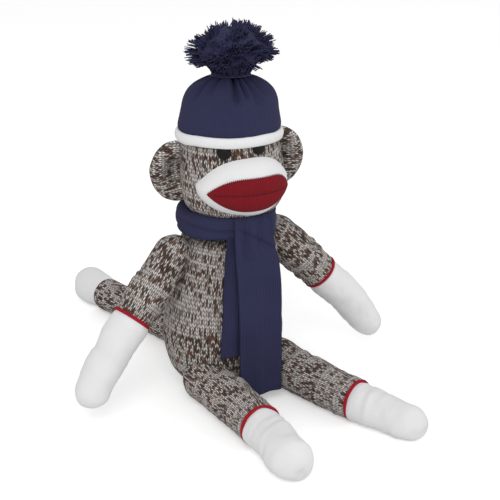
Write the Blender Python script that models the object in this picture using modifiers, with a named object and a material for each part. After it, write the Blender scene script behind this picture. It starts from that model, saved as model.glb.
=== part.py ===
"""Sock monkey doll, sitting, with a knitted cap and a scarf.

Frame: metres, +Z up, origin on the floor under the middle of the body. The doll faces -Y and
its left hand is at +X. Each limb is a knitted cover, a white end cap, a red seam band between
the two and a stuffing core, and it turns about the empty that it is parented to.
"""
import math

import bmesh
import bpy
from mathutils import Matrix, Vector

# Cloth, seams and clearances
GAP = 0.0003                # between pieces that touch
KNIT_WALL = 0.0016          # ragg knit of the body and the limbs
FLAT = 0.0005               # depth of the flat that a form has where it lies on the floor
OVERRUN = 0.004             # how far a cutter runs past what it cuts
BAND_LENGTH = 0.0030        # red seam band, along the limb
BAND_PROUD = 0.0005         # red seam band, above the cloth
THREAD_R = 0.0006
CORE_SLACK = 0.0006         # stuffing core of a limb, inside its cloth
ROUND = 24                  # facets round the body, head and cap
CORE_ROUND = 16             # facets round a stuffing core
LIMB_SIDES = 12             # facets round a limb
OFF_GRID_DEG = 4.0          # turn of a cutter whose edges would meet those of what it cuts

# Body
BODY_HALF_WIDTH = 0.0555
BODY_X = -0.0040            # the belly's middle, to the doll's right of the seat
BODY_HALF_DEPTH = 0.0515
BODY_HEIGHT = 0.1565
NECK_HOLE_R = 0.0175

# Neck and scarf wrap
NECK_X = 0.0032             # the neck and head stand a little to the doll's left
NECK_Y = -0.0050
NECK_R = 0.0165
NECK_WAIST_SHARE = 0.94     # where the thread gathers it
WRAP_R = 0.0348             # to the middle of the roll
WRAP_HALF_THICK = 0.0112
WRAP_HALF_HEIGHT = 0.0132
WRAP_DEPTH_SHARE = 0.93
WRAP_CREASE_SHARE = 0.09    # depth of the crease between its folds, of its half thickness

# Scarf ends
SCARF_THICK = 0.0030
FRONT_END_WIDTH = 0.0415
FRONT_END_X = 0.0002
FRONT_END_LENGTH = 0.1500
BACK_END_WIDTH = 0.0270
BACK_END_X = -0.0195
BACK_END_LENGTH = 0.0980
SCARF_FOLD = 0.0016         # height of the long folds
SCARF_STANDOFF = 0.0122     # how far the ends hang forward of their top

# Head
HEAD_R = 0.0455
HEAD_TOP_R = 0.0408
HEAD_ABOVE_CENTRE = 0.0725
HEAD_SIDE_SHARE = 0.42      # part of that height with nearly upright sides
HEAD_YAW_DEG = -12.0
HEAD_ROLL_DEG = -3.5
MUZZLE_HALF_WIDTH = 0.0410
MUZZLE_HALF_DEPTH = 0.0290
MUZZLE_HALF_HEIGHT = 0.0292
MUZZLE_FORWARD = 0.0280
MUZZLE_DROP = 0.0058
MUZZLE_WALL = 0.0014
LIP_THICK = 0.0012
LIP_HALF_WIDTH = 0.0362
LIP_RISE = 0.0135           # upper lip above the mouth line
LIP_FALL = 0.0172           # lower lip below the mouth line
MOUTH_DROP = 0.0035         # mouth line under the muzzle's middle
EYE_R = 0.0056
EYE_THICK = 0.0028
EYE_SPREAD = 0.0165
EYE_HEIGHT = 0.0246
EYE_SHIFT = -0.0015         # both eyes, to the doll's right
EAR_HALF_HEIGHT = 0.0275
EAR_HALF_WIDTH = 0.0250
EAR_HALF_THICK = 0.0100
EAR_OUT = 0.0455
EAR_DROP = 0.0018
EAR_BACK = 0.0120

# Cap
CAP_WALL = 0.0018
CAP_R = 0.0437
CAP_TOP = 0.0800            # above the head's centre
CAP_FOLDS = 9
CAP_FOLD = 0.0014
CUFF_HEIGHT = 0.0095
CUFF_THICK = 0.0026
CUFF_BOTTOM = 0.0256
CAP_SLANT = 0.09            # rise of the cap towards the face, per length
CAP_LEAN = 0.10             # of its top towards the doll's left, per length
POMPOM_R = 0.0400
POMPOM_HEIGHT = 0.0505
POMPOM_NECK_R = 0.0170
POMPOM_TUFTS = 9
TIE_R = 0.0014

# Arms
SHOULDER_X = 0.0530
SHOULDER_DROP = 0.0208      # below the top of the body
ARM_ROOT_R = 0.0175
ARM_MID_R = 0.0185
WRIST_R = 0.0172
HAND_R = 0.0168
ARM_ELBOW = (0.0460, -0.0090, -0.0485)
ARM_TIP = (0.1040, -0.0250, -0.1180)
ARM_CAP_LENGTH = 0.0930     # white hand

# Legs
HIP_X = 0.0360
HIP_Y = -0.0280
HIP_R = 0.0218
THIGH_R = 0.0203
ANKLE_R = 0.0188
FOOT_R = 0.0196
LEG_TO_ANKLE = 0.0960
FOOT_LENGTH = 0.0760
RIGHT_LEG_YAW_DEG = 1.6
LEFT_LEG_YAW_DEG = 14.3
RIGHT_FOOT_SWING = -0.0100
LEFT_FOOT_SWING = 0.0060
LEG_UP_DEG = 10.0
LEG_DOWN_DEG = 90.0

# Tail
TAIL_ROOT_X = 0.0030
TAIL_ROOT_Y = 0.0400
TAIL_R = 0.0165
TAIL_CAP_R = 0.0178
TAIL_LENGTH = 0.2050
TAIL_CAP_LENGTH = 0.0340
TAIL_YAW_DEG = 13.0
TAIL_SWING_DEG = 40.0

# Worked out from the sizes above
DEG = math.pi / 180.0
CORE_INSET = KNIT_WALL + GAP
LIMB_CORE_INSET = CORE_INSET + CORE_SLACK
FACET_SAG = 1.0 - math.cos(math.pi / ROUND)      # how far a facet lies inside its circle
BODY_CORE_INSET = CORE_INSET + BODY_HALF_WIDTH * FACET_SAG
HEAD_CORE_INSET = CORE_INSET + HEAD_R * FACET_SAG
SHOULDER_Z = BODY_HEIGHT - SHOULDER_DROP
HEAD_Z = BODY_HEIGHT + NECK_R / 2 + HEAD_R
WRAP_Z = BODY_HEIGHT - 0.28 * NECK_R + 0.73 * WRAP_HALF_HEIGHT
HEAD_CENTRE = (NECK_X, NECK_Y, HEAD_Z)

CAP_SEAT = Matrix(((1.0, 0.0, CAP_LEAN, -CAP_LEAN * (CUFF_BOTTOM + CUFF_HEIGHT / 2)),
                   (0.0, 1.0, 0.0, 0.0), (0.0, -CAP_SLANT, 1.0, 0.0), (0.0, 0.0, 0.0, 1.0)))

KNIT_RGB = (0.36, 0.30, 0.27)
WHITE_RGB = (0.86, 0.86, 0.86)
RED_RGB = (0.45, 0.02, 0.04)
NAVY_RGB = (0.045, 0.05, 0.12)
BLACK_RGB = (0.012, 0.012, 0.013)
STUFFING_RGB = (0.80, 0.79, 0.76)


def clear_scene():
    """Remove every object that the file opened with."""
    for obj in list(bpy.data.objects):
        bpy.data.objects.remove(obj, do_unlink=True)


def new_collection(name):
    collection = bpy.data.collections.new(name)
    bpy.context.scene.collection.children.link(collection)
    return collection


clear_scene()
PARTS = new_collection("sock_monkey_doll")
CUTTERS = new_collection("cutters")


def cloth(name, rgb, roughness):
    """A matt cloth or yarn of one colour."""
    material = bpy.data.materials.new(name)
    material.use_nodes = True
    shader = material.node_tree.nodes["Principled BSDF"]
    shader.inputs["Base Color"].default_value = (*rgb, 1.0)
    shader.inputs["Roughness"].default_value = roughness
    shader.inputs["Metallic"].default_value = 0.0
    material.diffuse_color = (*rgb, 1.0)
    return material


def place(obj, collection, parent=None):
    """Put an object in its collection and under its pivot."""
    for held in list(obj.users_collection):
        held.objects.unlink(obj)
    collection.objects.link(obj)
    if parent is not None:
        obj.parent = parent
    bpy.context.view_layer.update()
    return obj


def finish(obj, name, rgb, roughness=0.9, parent=None, smooth_deg=50.0):
    """Name a sub-part, give it its material and shade it smooth."""
    obj.name = name
    obj.data.name = name
    obj.data.materials.clear()
    obj.data.materials.append(cloth(name, rgb, roughness))
    place(obj, PARTS, parent)
    obj.data.shade_smooth()
    obj.data.set_sharp_from_angle(angle=smooth_deg * DEG)
    return obj


def as_cutter(obj, name, parent=None):
    """Make an object a cutter, which is drawn as wire and left out of the part."""
    obj.name = name
    obj.hide_render = True
    obj.display_type = "WIRE"
    return place(obj, CUTTERS, parent)


def cut(obj, cutters, operation="DIFFERENCE"):
    for cutter in cutters:
        boolean = obj.modifiers.new(cutter.name, "BOOLEAN")
        boolean.operation = operation
        boolean.solver = "EXACT"
        boolean.object = cutter


def cut_by_all(obj, collection):
    """Cut by every cutter of a collection at once."""
    boolean = obj.modifiers.new(collection.name, "BOOLEAN")
    boolean.operation = "DIFFERENCE"
    boolean.solver = "EXACT"
    boolean.operand_type = "COLLECTION"
    boolean.collection = collection


def hollow(obj, wall):
    """Give an open cloth surface its thickness, inwards."""
    solidify = obj.modifiers.new("cloth", "SOLIDIFY")
    solidify.thickness = wall
    solidify.offset = -1.0
    solidify.use_even_offset = True


def pivot(name, location, rotation=(0.0, 0.0, 0.0)):
    empty = bpy.data.objects.new(name, None)
    empty.empty_display_size = GAP
    empty.location = location
    empty.rotation_euler = rotation
    PARTS.objects.link(empty)
    bpy.context.view_layer.update()
    return empty


def turned(name, profile, steps=ROUND, depth_share=1.0, sweep=2 * math.pi, bend=None,
           ring=False):
    """Turn a profile of (radius, height), top to bottom, about Z; a ring's profile is closed."""
    mesh = bpy.data.meshes.new(name)
    points = [(radius, 0.0, height) for radius, height in profile]
    edges = [(i, i + 1) for i in range(len(points) - 1)]
    if ring:
        edges.append((len(points) - 1, 0))
    mesh.from_pydata(points, edges, [])
    obj = bpy.data.objects.new(name, mesh)
    bpy.context.scene.collection.objects.link(obj)
    screw = obj.modifiers.new("turn", "SCREW")
    screw.angle = sweep
    screw.steps = steps
    screw.render_steps = steps
    screw.use_merge_vertices = True
    screw.merge_threshold = GAP / 10
    bpy.context.view_layer.update()
    evaluated = obj.evaluated_get(bpy.context.evaluated_depsgraph_get())
    solid = bpy.data.meshes.new_from_object(evaluated)
    obj.modifiers.clear()
    obj.data = solid
    for vertex in solid.vertices:
        vertex.co.y *= depth_share
        if bend is not None:
            vertex.co = bend(vertex.co)
    return obj


def closed_profile(middle, half_width, half_height, count, shape=1.0):
    """An oval section, as a ring of points that starts at its outer side and runs down."""
    ring = []
    for i in range(count):
        angle = -2 * math.pi * i / count
        across, up = math.cos(angle), math.sin(angle)
        across = math.copysign(abs(across) ** shape, across)
        up = math.copysign(abs(up) ** shape, up)
        ring.append((middle[0] + half_width * across, middle[1] + half_height * up))
    return ring


def ball(name, radii, centre=(0.0, 0.0, 0.0), sides=20, rings=12):
    """An ellipsoid about a point."""
    bpy.ops.mesh.primitive_uv_sphere_add(segments=sides, ring_count=rings, radius=1.0)
    obj = bpy.context.active_object
    obj.name = name
    for vertex in obj.data.vertices:
        vertex.co = Vector(centre) + Vector([c * r for c, r in zip(vertex.co, radii)])
    return obj


def smooth_step(share):
    share = max(0.0, min(1.0, share))
    return share * share * (3.0 - 2.0 * share)


class Limb:
    """A stuffed limb: a bent centre line, radii along it, and rounded ends."""

    def __init__(self, root, middle, tip, radii, root_round, tip_round, floor_z=None):
        self.points = [Vector(p) for p in (root, middle, tip)]
        self.radii = radii
        self.root_round = root_round
        self.tip_round = tip_round
        self.floor_z = floor_z
        steps = 200
        self.samples = [self.raw(i / steps) for i in range(steps + 1)]
        self.lengths = [0.0]
        for a, b in zip(self.samples, self.samples[1:]):
            self.lengths.append(self.lengths[-1] + (b - a).length)
        self.length = self.lengths[-1]

    def raw(self, t):
        """Straight from the root to the middle, then easing over to the tip."""
        a, b, c = self.points
        first, second = (b - a).length, (c - b).length
        bend_from = first / (first + second)
        if t <= bend_from:
            return a.lerp(b, t / bend_from)
        share = (t - bend_from) / (1.0 - bend_from)
        ahead = (b - a) / first * second
        return b + ahead * share + (c - b - ahead) * share * share

    def body_radius(self, s):
        """Radius without the rounded ends, eased between the stated (place, radius) pairs."""
        share = s / self.length
        for (s0, r0), (s1, r1) in zip(self.radii, self.radii[1:]):
            if share <= s1:
                return r0 + (r1 - r0) * smooth_step((share - s0) / (s1 - s0))
        return self.radii[-1][1]

    def radius(self, s, inset=0.0):
        """Radius at a distance along the limb, with both ends rounded."""
        radius = self.body_radius(s) - inset
        for from_end, round_length in ((s, self.root_round), (self.length - s, self.tip_round)):
            from_end -= inset
            round_length -= inset
            if from_end < round_length:
                share = 1.0 - max(from_end, 0.0) / round_length
                radius *= math.sqrt(max(1.0 - share * share, 0.0))
        return radius

    def point(self, s):
        s = max(0.0, min(self.length, s))
        for i in range(1, len(self.lengths)):
            if s <= self.lengths[i]:
                share = (s - self.lengths[i - 1]) / (self.lengths[i] - self.lengths[i - 1])
                at = self.samples[i - 1].lerp(self.samples[i], share)
                break
        if self.floor_z is not None:
            at.z = self.floor_z + self.body_radius(s) - FLAT
        return at

    def direction(self, s):
        step = self.length / 100
        return (self.point(s + step) - self.point(s - step)).normalized()

    def places(self, start, end, rings, inset):
        """Ring places, closer together on the rounded ends."""
        first = start + (inset if start <= 0.0 else 0.0)
        last = end - (inset if end >= self.length else 0.0)
        marks = []
        if start <= 0.0:
            round_end = self.root_round
            marks += [first + (round_end - first) * (1 - math.cos(a * DEG)) for a in (12, 35, 60)]
            first = round_end
        tail_marks = []
        if end >= self.length:
            round_start = self.length - self.tip_round
            tail_marks = [last - (last - round_start) * (1 - math.cos(a * DEG))
                          for a in (60, 35, 12)]
            last = round_start
        marks += [first + (last - first) * i / rings for i in range(rings + 1)]
        # A seamed end gets a short last step, so that it is cut square to the limb.
        if start > 0.0:
            marks.insert(1, start + BAND_LENGTH / 2)
        if end < self.length:
            marks.insert(-1, end - BAND_LENGTH / 2)
        return marks + tail_marks

    def tube(self, name, start, end, rings, inset=0.0, opened=()):
        """The limb from start to end as a mesh made from a bevelled curve."""
        marks = self.places(start, end, rings, inset)
        curve = bpy.data.curves.new(name, "CURVE")
        curve.dimensions = "3D"
        curve.bevel_depth = ARM_ROOT_R
        curve.bevel_resolution = (LIMB_SIDES - 4) // 2
        curve.use_fill_caps = True
        spline = curve.splines.new("POLY")
        spline.points.add(len(marks) - 1)
        for spot, s in zip(spline.points, marks):
            spot.co = (*self.point(s), 1.0)
            spot.radius = self.radius(s, inset) / ARM_ROOT_R
        obj = bpy.data.objects.new(name, curve)
        bpy.context.scene.collection.objects.link(obj)
        bpy.context.view_layer.update()
        evaluated = obj.evaluated_get(bpy.context.evaluated_depsgraph_get())
        mesh = bpy.data.meshes.new_from_object(evaluated)
        bpy.data.objects.remove(obj, do_unlink=True)
        shape = bmesh.new()
        shape.from_mesh(mesh)
        bmesh.ops.remove_doubles(shape, verts=shape.verts, dist=GAP / 10)
        middle = self.point((marks[0] + marks[-1]) / 2)
        to_start = self.point(marks[0]) - middle
        doomed = []
        for face in [face for face in shape.faces if len(face.verts) == 3]:
            at_start = (face.calc_center_median() - middle).dot(to_start) > 0
            if ("start" if at_start else "end") in opened:
                doomed.append(face)
        bmesh.ops.delete(shape, geom=doomed, context="FACES")
        bmesh.ops.recalc_face_normals(shape, faces=shape.faces)
        shape.to_mesh(mesh)
        shape.free()
        result = bpy.data.objects.new(name, mesh)
        bpy.context.scene.collection.objects.link(result)
        return result

    def band(self, name, at, parent):
        """The red seam band: a thin rounded ring square to the limb."""
        outer = self.body_radius(at) + BAND_PROUD
        inner = self.body_radius(at) - KNIT_WALL
        half = (outer - inner) / 2
        length = BAND_LENGTH / 2 - 1.5 * GAP
        section = closed_profile(((outer + inner) / 2, 0.0), half, length, 8, 0.7)
        ring = turned(name, section, LIMB_SIDES, ring=True)
        turn = self.direction(at).to_track_quat("Z", "Y").to_matrix().to_4x4()
        ring.data.transform(Matrix.Translation(self.point(at)) @ turn)
        return finish(ring, name, RED_RGB, 0.85, parent)


FLOOR_SIZE = 2 * TAIL_LENGTH + FOOT_LENGTH + LEG_TO_ANKLE


def floor_cutter():
    """A block under the floor, which cuts each resting form flat."""
    bpy.ops.mesh.primitive_cube_add(size=1.0)
    block = bpy.context.active_object
    for vertex in block.data.vertices:
        vertex.co.x *= FLOOR_SIZE * 2
        vertex.co.y *= FLOOR_SIZE * 2
        vertex.co.z = (vertex.co.z - 0.5) * OVERRUN * 2
    return as_cutter(block, "under_floor")


def swept_room(name, parent, radius, length, turns_deg, axis):
    """Room for a limb that turns about one axis: a wedge with the limb's own ends."""
    # The ball is the widest and the wedge the thinnest, so that no two of them are tangent.
    room = radius + 2 * GAP
    widest = room + GAP / 2
    thin = room - GAP / 2
    cutters = [as_cutter(ball(name + "_socket", (widest, widest, widest)), name + "_socket",
                         parent)]
    low, high = turns_deg
    profile = [(0.0, thin), (length, thin), (length, -thin), (0.0, -thin)]
    wedge = turned(name + "_wedge", profile, 10, sweep=(high - low) * DEG)
    shape = bmesh.new()
    shape.from_mesh(wedge.data)
    on_axis = [v for v in shape.verts if math.hypot(v.co.x, v.co.y) < GAP]
    sides = [e for e in shape.edges if e.is_boundary] + [shape.edges.new(on_axis)]
    bmesh.ops.edgenet_fill(shape, edges=sides)
    bmesh.ops.recalc_face_normals(shape, faces=shape.faces)
    shape.to_mesh(wedge.data)
    shape.free()
    # The wedge is turned about Z from +X; it is laid so that turn 0 is the limb's own way.
    if axis == "X":
        lay = Matrix(((0, 0, 1, 0), (-1, 0, 0, 0), (0, -1, 0, 0), (0, 0, 0, 1)))
    else:
        lay = Matrix(((0, -1, 0, 0), (1, 0, 0, 0), (0, 0, 1, 0), (0, 0, 0, 1)))
    wedge.data.transform(lay @ Matrix.Rotation(low * DEG, 4, "Z"))
    cutters.append(as_cutter(wedge, name + "_wedge", parent))
    for end in (low, high):
        rod_mesh = turned(name + "_rod", [(0.0, length), (room, length), (room, 0.0), (0.0, 0.0)],
                          20)
        # The rod runs along the limb at the end of its swing.
        along = Matrix.Rotation(end * DEG, 4, "Z") @ Matrix.Rotation(90 * DEG, 4, "Y")
        rod_mesh.data.transform(lay @ along)
        cutters.append(as_cutter(rod_mesh, name + "_rod", parent))
    return cutters


def shoulder_room(side, sign, parent):
    """Room for an arm: a ball, and the cone that the arm's inner side sweeps."""
    room = ARM_ROOT_R + 2.5 * GAP
    # Both are turned off the body's own grid, so that no edges coincide.
    off_grid = Matrix.Rotation(OFF_GRID_DEG * DEG, 4, "X")
    socket = as_cutter(ball(side + "_socket", (room, room, room)), side + "_socket", parent)
    socket.data.transform(off_grid)
    way = Vector((ARM_ELBOW[0], math.hypot(ARM_ELBOW[1], ARM_ELBOW[2]))).normalized()
    inner = Vector((-way.y, way.x))
    near = inner * (room - GAP / 2)
    far = inner * (ARM_MID_R + 4 * GAP) + way * 2.2 * ARM_ROOT_R
    out = far.x + OVERRUN
    cone = turned(side + "_sweep", [(0.0, out), (far.y, out), (far.y, far.x), (near.y, near.x),
                                    (0.0, near.x)], ROUND)
    cone.data.transform(off_grid @ Matrix.Rotation(sign * 90 * DEG, 4, "Y"))
    return [socket, as_cutter(cone, side + "_sweep", parent)]


def body_profile(inset=0.0):
    """Half outline of the pear-shaped body, top to bottom, as shares of its size."""
    shares = [(0.330, 1.000), (0.530, 0.968), (0.690, 0.940), (0.775, 0.898), (0.835, 0.820),
              (0.868, 0.720), (0.905, 0.600), (0.960, 0.470), (1.000, 0.350), (0.975, 0.232),
              (0.870, 0.130), (0.690, 0.058), (0.430, 0.014), (0.180, 0.000)]
    low = -FLAT + inset
    high = BODY_HEIGHT - inset
    outline = [(BODY_HALF_WIDTH * r - inset, low + (high - low) * z) for r, z in shares]
    outline[0] = (NECK_HOLE_R - inset, outline[0][1])
    return outline


def body_lean(co):
    """The belly sits to one side of the seat's middle, and the body's top under the neck."""
    rise = smooth_step(co.z / BODY_HEIGHT * 2 - 1)
    return Vector((co.x + BODY_X + (NECK_X - BODY_X) * rise, co.y, co.z))


def build_body(rooms, floor):
    """The pear-shaped body, with room for the limbs that turn in it."""
    limb_rooms = bpy.data.collections.new("limb_rooms")
    CUTTERS.children.link(limb_rooms)
    for room in rooms:
        CUTTERS.objects.unlink(room)
        limb_rooms.objects.link(room)
    share = BODY_HALF_DEPTH / BODY_HALF_WIDTH
    profile = body_profile() + [(0.0, -FLAT)]
    cover = turned("torso_cover", profile, ROUND, share, bend=body_lean)
    hollow(cover, KNIT_WALL)
    cut_by_all(cover, limb_rooms)
    cut(cover, [floor])
    finish(cover, "torso_cover", KNIT_RGB)
    core_profile = body_profile(BODY_CORE_INSET)
    top = core_profile[0][1]
    core = turned("torso_filling", [(0.0, top)] + core_profile + [(0.0, core_profile[-1][1])],
                  CORE_ROUND, share, bend=body_lean)
    cut_by_all(core, limb_rooms)
    finish(core, "torso_filling", STUFFING_RGB, 1.0)


def build_neck(parent):
    """Gathered stuffing between the body and the head, with the thread that gathers it."""
    seat = BODY_HEIGHT + GAP
    dish = HEAD_R + GAP
    steps = 5
    profile = []
    for i in range(steps + 1):
        radius = NECK_R * i / steps
        profile.append((radius, HEAD_Z - math.sqrt(dish * dish - radius * radius) - GAP))
    waist = NECK_R * NECK_WAIST_SHARE
    profile += [(waist, seat + 4 * THREAD_R), (waist, seat), (0.0, seat)]
    neck = turned("neck_stuffing", profile, CORE_ROUND)
    neck.data.transform(Matrix.Translation((0.0, 0.0, -HEAD_Z)))
    finish(neck, "neck_stuffing", KNIT_RGB, 0.9, parent)
    section = closed_profile((waist + GAP + THREAD_R, seat + 2 * THREAD_R), THREAD_R, THREAD_R, 6)
    thread = turned("neck_thread", section, CORE_ROUND, ring=True)
    thread.data.transform(Matrix.Translation((0.0, 0.0, -HEAD_Z)))
    finish(thread, "neck_thread", NAVY_RGB, 0.8, parent)


def wrap_ring(name, grow):
    """The scarf's roll round the neck, larger by a named amount: two long folds go round it."""
    count = 12
    section = []
    for i in range(count):
        angle = -2 * math.pi * i / count
        outside = 1 if math.cos(angle) > 0 else 0
        fold = 1.0 - WRAP_CREASE_SHARE * math.cos(3 * angle) * outside
        section.append((WRAP_R + (WRAP_HALF_THICK * fold + grow) * math.cos(angle),
                        WRAP_Z + (WRAP_HALF_HEIGHT + grow) * math.sin(angle)))

    def slope(co):
        turn = math.atan2(co.y, co.x)
        lift = SCARF_FOLD * 0.6 * math.sin(2 * turn + 0.6)
        return Vector((co.x, co.y + NECK_Y, co.z + lift * (co.z - WRAP_Z) / WRAP_HALF_HEIGHT))

    return turned(name, section, 30, WRAP_DEPTH_SHARE, bend=slope, ring=True)


def build_wrap():
    """The roll, hollowed by the ball of the head that turns on it."""
    wrap = wrap_ring("scarf_wrap", 0.0)
    sides, rings = 28, 18
    reach = (HEAD_R + 2 * GAP) / (math.cos(math.pi / sides) * math.cos(math.pi / rings / 2))
    jaw_room = ball("jaw_room", (reach, reach, reach), HEAD_CENTRE, sides, rings)
    cut(wrap, [as_cutter(jaw_room, "jaw_room")])
    return finish(wrap, "scarf_wrap", NAVY_RGB, 0.85)


def scarf_end(name, middle_x, width, top, length, forward, folds, parent, between=False):
    """A hanging scarf end: a grid hung in long folds and given its thickness.

    An end that hangs between the thighs is pressed in by the one that it would run into.
    """
    along = forward + SCARF_STANDOFF + 2 * SCARF_FOLD + HIP_Y
    thigh_side = -HIP_X + THIGH_R + along * math.tan(RIGHT_LEG_YAW_DEG * DEG) + 6 * GAP
    press = max(thigh_side - (middle_x - width / 2), 0.0) if between else 0.0
    pressed_from = (top - 2.7 * THIGH_R) / length
    across, down = 10, 10
    bpy.ops.mesh.primitive_grid_add(x_subdivisions=across, y_subdivisions=down, size=2.0)
    sheet = bpy.context.active_object
    for vertex in sheet.data.vertices:
        u, v = vertex.co.x, (1.0 - vertex.co.y) / 2
        pushed = press * (1.0 - u) / 2 * smooth_step((v - pressed_from) * length / (THIGH_R * 0.7))
        fold = SCARF_FOLD * math.cos(folds * math.pi * u) * smooth_step(v / 0.25)
        hang = SCARF_STANDOFF * smooth_step(v / 0.45)
        vertex.co = Vector((middle_x + u * width / 2 + pushed, -forward - hang - fold,
                            top - v * length))
    sheet.data.transform(Matrix.Translation(-parent.location))
    solidify = sheet.modifiers.new("cloth", "SOLIDIFY")
    solidify.thickness = SCARF_THICK
    solidify.offset = 0.0
    finish(sheet, name, NAVY_RGB, 0.85, parent)
    return sheet


def build_scarf_ends():
    """Both loose ends, which lift together from the front of the wrap."""
    wrap_front = -NECK_Y + (WRAP_R + WRAP_HALF_THICK * (1 - WRAP_CREASE_SHARE)) * WRAP_DEPTH_SHARE
    forward = wrap_front + SCARF_THICK / 2 + GAP
    top = WRAP_Z
    knot = pivot("scarf_pivot", (0.0, -forward, top))
    scarf_end("scarf_front_end", FRONT_END_X, FRONT_END_WIDTH, top, FRONT_END_LENGTH, forward,
              2, knot, True)
    behind = SCARF_THICK + 1.9 * SCARF_FOLD + GAP
    scarf_end("scarf_back_end", BACK_END_X, BACK_END_WIDTH, top - WRAP_HALF_HEIGHT - 2 * GAP,
              BACK_END_LENGTH, forward - behind, 1, knot)


def head_profile(inset=0.0):
    """Half outline of the head about its centre, top to bottom."""
    top = HEAD_ABOVE_CENTRE - inset
    crown = [(0.285, 0.986), (0.500, 0.925), (0.660, 0.840), (0.810, 0.720), (0.920, 0.575)]
    outline = [(HEAD_TOP_R * r - inset, top * z) for r, z in crown]
    outline.append((HEAD_TOP_R - inset, top * HEAD_SIDE_SHARE))
    outline.append(((HEAD_TOP_R + HEAD_R) / 2 - inset, top * HEAD_SIDE_SHARE / 2))
    radius = HEAD_R - inset
    for i in range(8):
        angle = 75.0 / 7 * i * DEG
        outline.append((radius * math.cos(angle), -radius * math.sin(angle)))
    return outline


def ellipsoid(name, grow, sides=24, rings=12):
    """The muzzle's form, larger or smaller by a named amount."""
    return ball(name, (MUZZLE_HALF_WIDTH + grow, MUZZLE_HALF_DEPTH + grow,
                       MUZZLE_HALF_HEIGHT + grow),
                (0.0, -MUZZLE_FORWARD, -MUZZLE_DROP), sides, rings)


def muzzle_front(x, z, grow):
    """Y of the muzzle's front at a place, for what lies on it."""
    a, b, c = (MUZZLE_HALF_WIDTH + grow, MUZZLE_HALF_DEPTH + grow, MUZZLE_HALF_HEIGHT + grow)
    left = 1.0 - (x / a) ** 2 - ((z + MUZZLE_DROP) / c) ** 2
    return -MUZZLE_FORWARD - b * math.sqrt(max(left, 0.0))


def build_muzzle(head, head_room):
    cover = ellipsoid("muzzle_cover", 0.0)
    inner = as_cutter(ellipsoid("muzzle_inside", -MUZZLE_WALL), "muzzle_inside", head)
    cut(cover, [inner, head_room])
    finish(cover, "muzzle_cover", WHITE_RGB, 0.85, head)
    core = ellipsoid("muzzle_filling", -MUZZLE_WALL - 2 * GAP - MUZZLE_HALF_WIDTH * FACET_SAG,
                     CORE_ROUND, 10)
    cut(core, [head_room])
    finish(core, "muzzle_filling", STUFFING_RGB, 1.0, head)


def build_lips(head):
    """The red patch: an almond of thin cloth laid on the muzzle, with its stitched mouth line."""
    mouth_z = -MUZZLE_DROP - MOUTH_DROP
    curve = bpy.data.curves.new("lips", "CURVE")
    curve.dimensions = "2D"
    curve.fill_mode = "BOTH"
    curve.extrude = MUZZLE_HALF_DEPTH
    spline = curve.splines.new("POLY")
    outline = []
    steps = 12
    for rise in (LIP_RISE, -LIP_FALL):
        for i in range(steps):
            u = -1.0 + 2.0 * i / steps
            side = u if rise > 0 else -u
            outline.append((side * LIP_HALF_WIDTH, mouth_z + rise * (1 - abs(u) ** 2.2) ** 0.9))
    spline.points.add(len(outline) - 1)
    for spot, (x, z) in zip(spline.points, outline):
        spot.co = (x, z, 0.0, 1.0)
    spline.use_cyclic_u = True
    stencil = bpy.data.objects.new("lips", curve)
    bpy.context.scene.collection.objects.link(stencil)
    bpy.context.view_layer.update()
    evaluated = stencil.evaluated_get(bpy.context.evaluated_depsgraph_get())
    mesh = bpy.data.meshes.new_from_object(evaluated)
    bpy.data.objects.remove(stencil, do_unlink=True)
    shape = bmesh.new()
    shape.from_mesh(mesh)
    bmesh.ops.remove_doubles(shape, verts=shape.verts, dist=GAP / 10)
    bmesh.ops.recalc_face_normals(shape, faces=shape.faces)
    shape.to_mesh(mesh)
    shape.free()
    front = -MUZZLE_FORWARD - MUZZLE_HALF_DEPTH
    stand = Matrix.Translation((0.0, front - GAP, 0.0)) @ Matrix.Rotation(90 * DEG, 4, "X")
    mesh.transform(stand)
    prism = bpy.data.objects.new("lip_outline", mesh)
    bpy.context.scene.collection.objects.link(prism)
    as_cutter(prism, "lip_outline", head)
    patch = ellipsoid("lips", 1.5 * GAP + LIP_THICK, 28, 16)
    under = as_cutter(ellipsoid("lips_underside", 1.5 * GAP, 28, 16), "lips_underside", head)
    cut(patch, [under])
    cut(patch, [prism], "INTERSECT")
    finish(patch, "lips", RED_RGB, 0.85, head)

    line = bpy.data.curves.new("mouth_stitch", "CURVE")
    line.dimensions = "3D"
    line.bevel_depth = THREAD_R
    line.bevel_resolution = 1
    line.use_fill_caps = True
    stitch = line.splines.new("POLY")
    count = 18
    stitch.points.add(count - 1)
    above = LIP_THICK + 2.5 * GAP + 1.4 * THREAD_R
    for i in range(count):
        x = LIP_HALF_WIDTH * 0.80 * (-1.0 + 2.0 * i / (count - 1))
        stitch.points[i].co = (x, muzzle_front(x, mouth_z, above), mouth_z, 1.0)
    finish_curve(line, "mouth_stitch", RED_RGB, head)


def finish_curve(curve, name, rgb, parent):
    """Turn a thread curve into a welded mesh and finish it."""
    obj = bpy.data.objects.new(name, curve)
    bpy.context.scene.collection.objects.link(obj)
    bpy.context.view_layer.update()
    evaluated = obj.evaluated_get(bpy.context.evaluated_depsgraph_get())
    mesh = bpy.data.meshes.new_from_object(evaluated)
    bpy.data.objects.remove(obj, do_unlink=True)
    shape = bmesh.new()
    shape.from_mesh(mesh)
    bmesh.ops.remove_doubles(shape, verts=shape.verts, dist=GAP / 10)
    shape.to_mesh(mesh)
    shape.free()
    thread = bpy.data.objects.new(name, mesh)
    bpy.context.scene.collection.objects.link(thread)
    return finish(thread, name, rgb, 0.8, parent)


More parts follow.
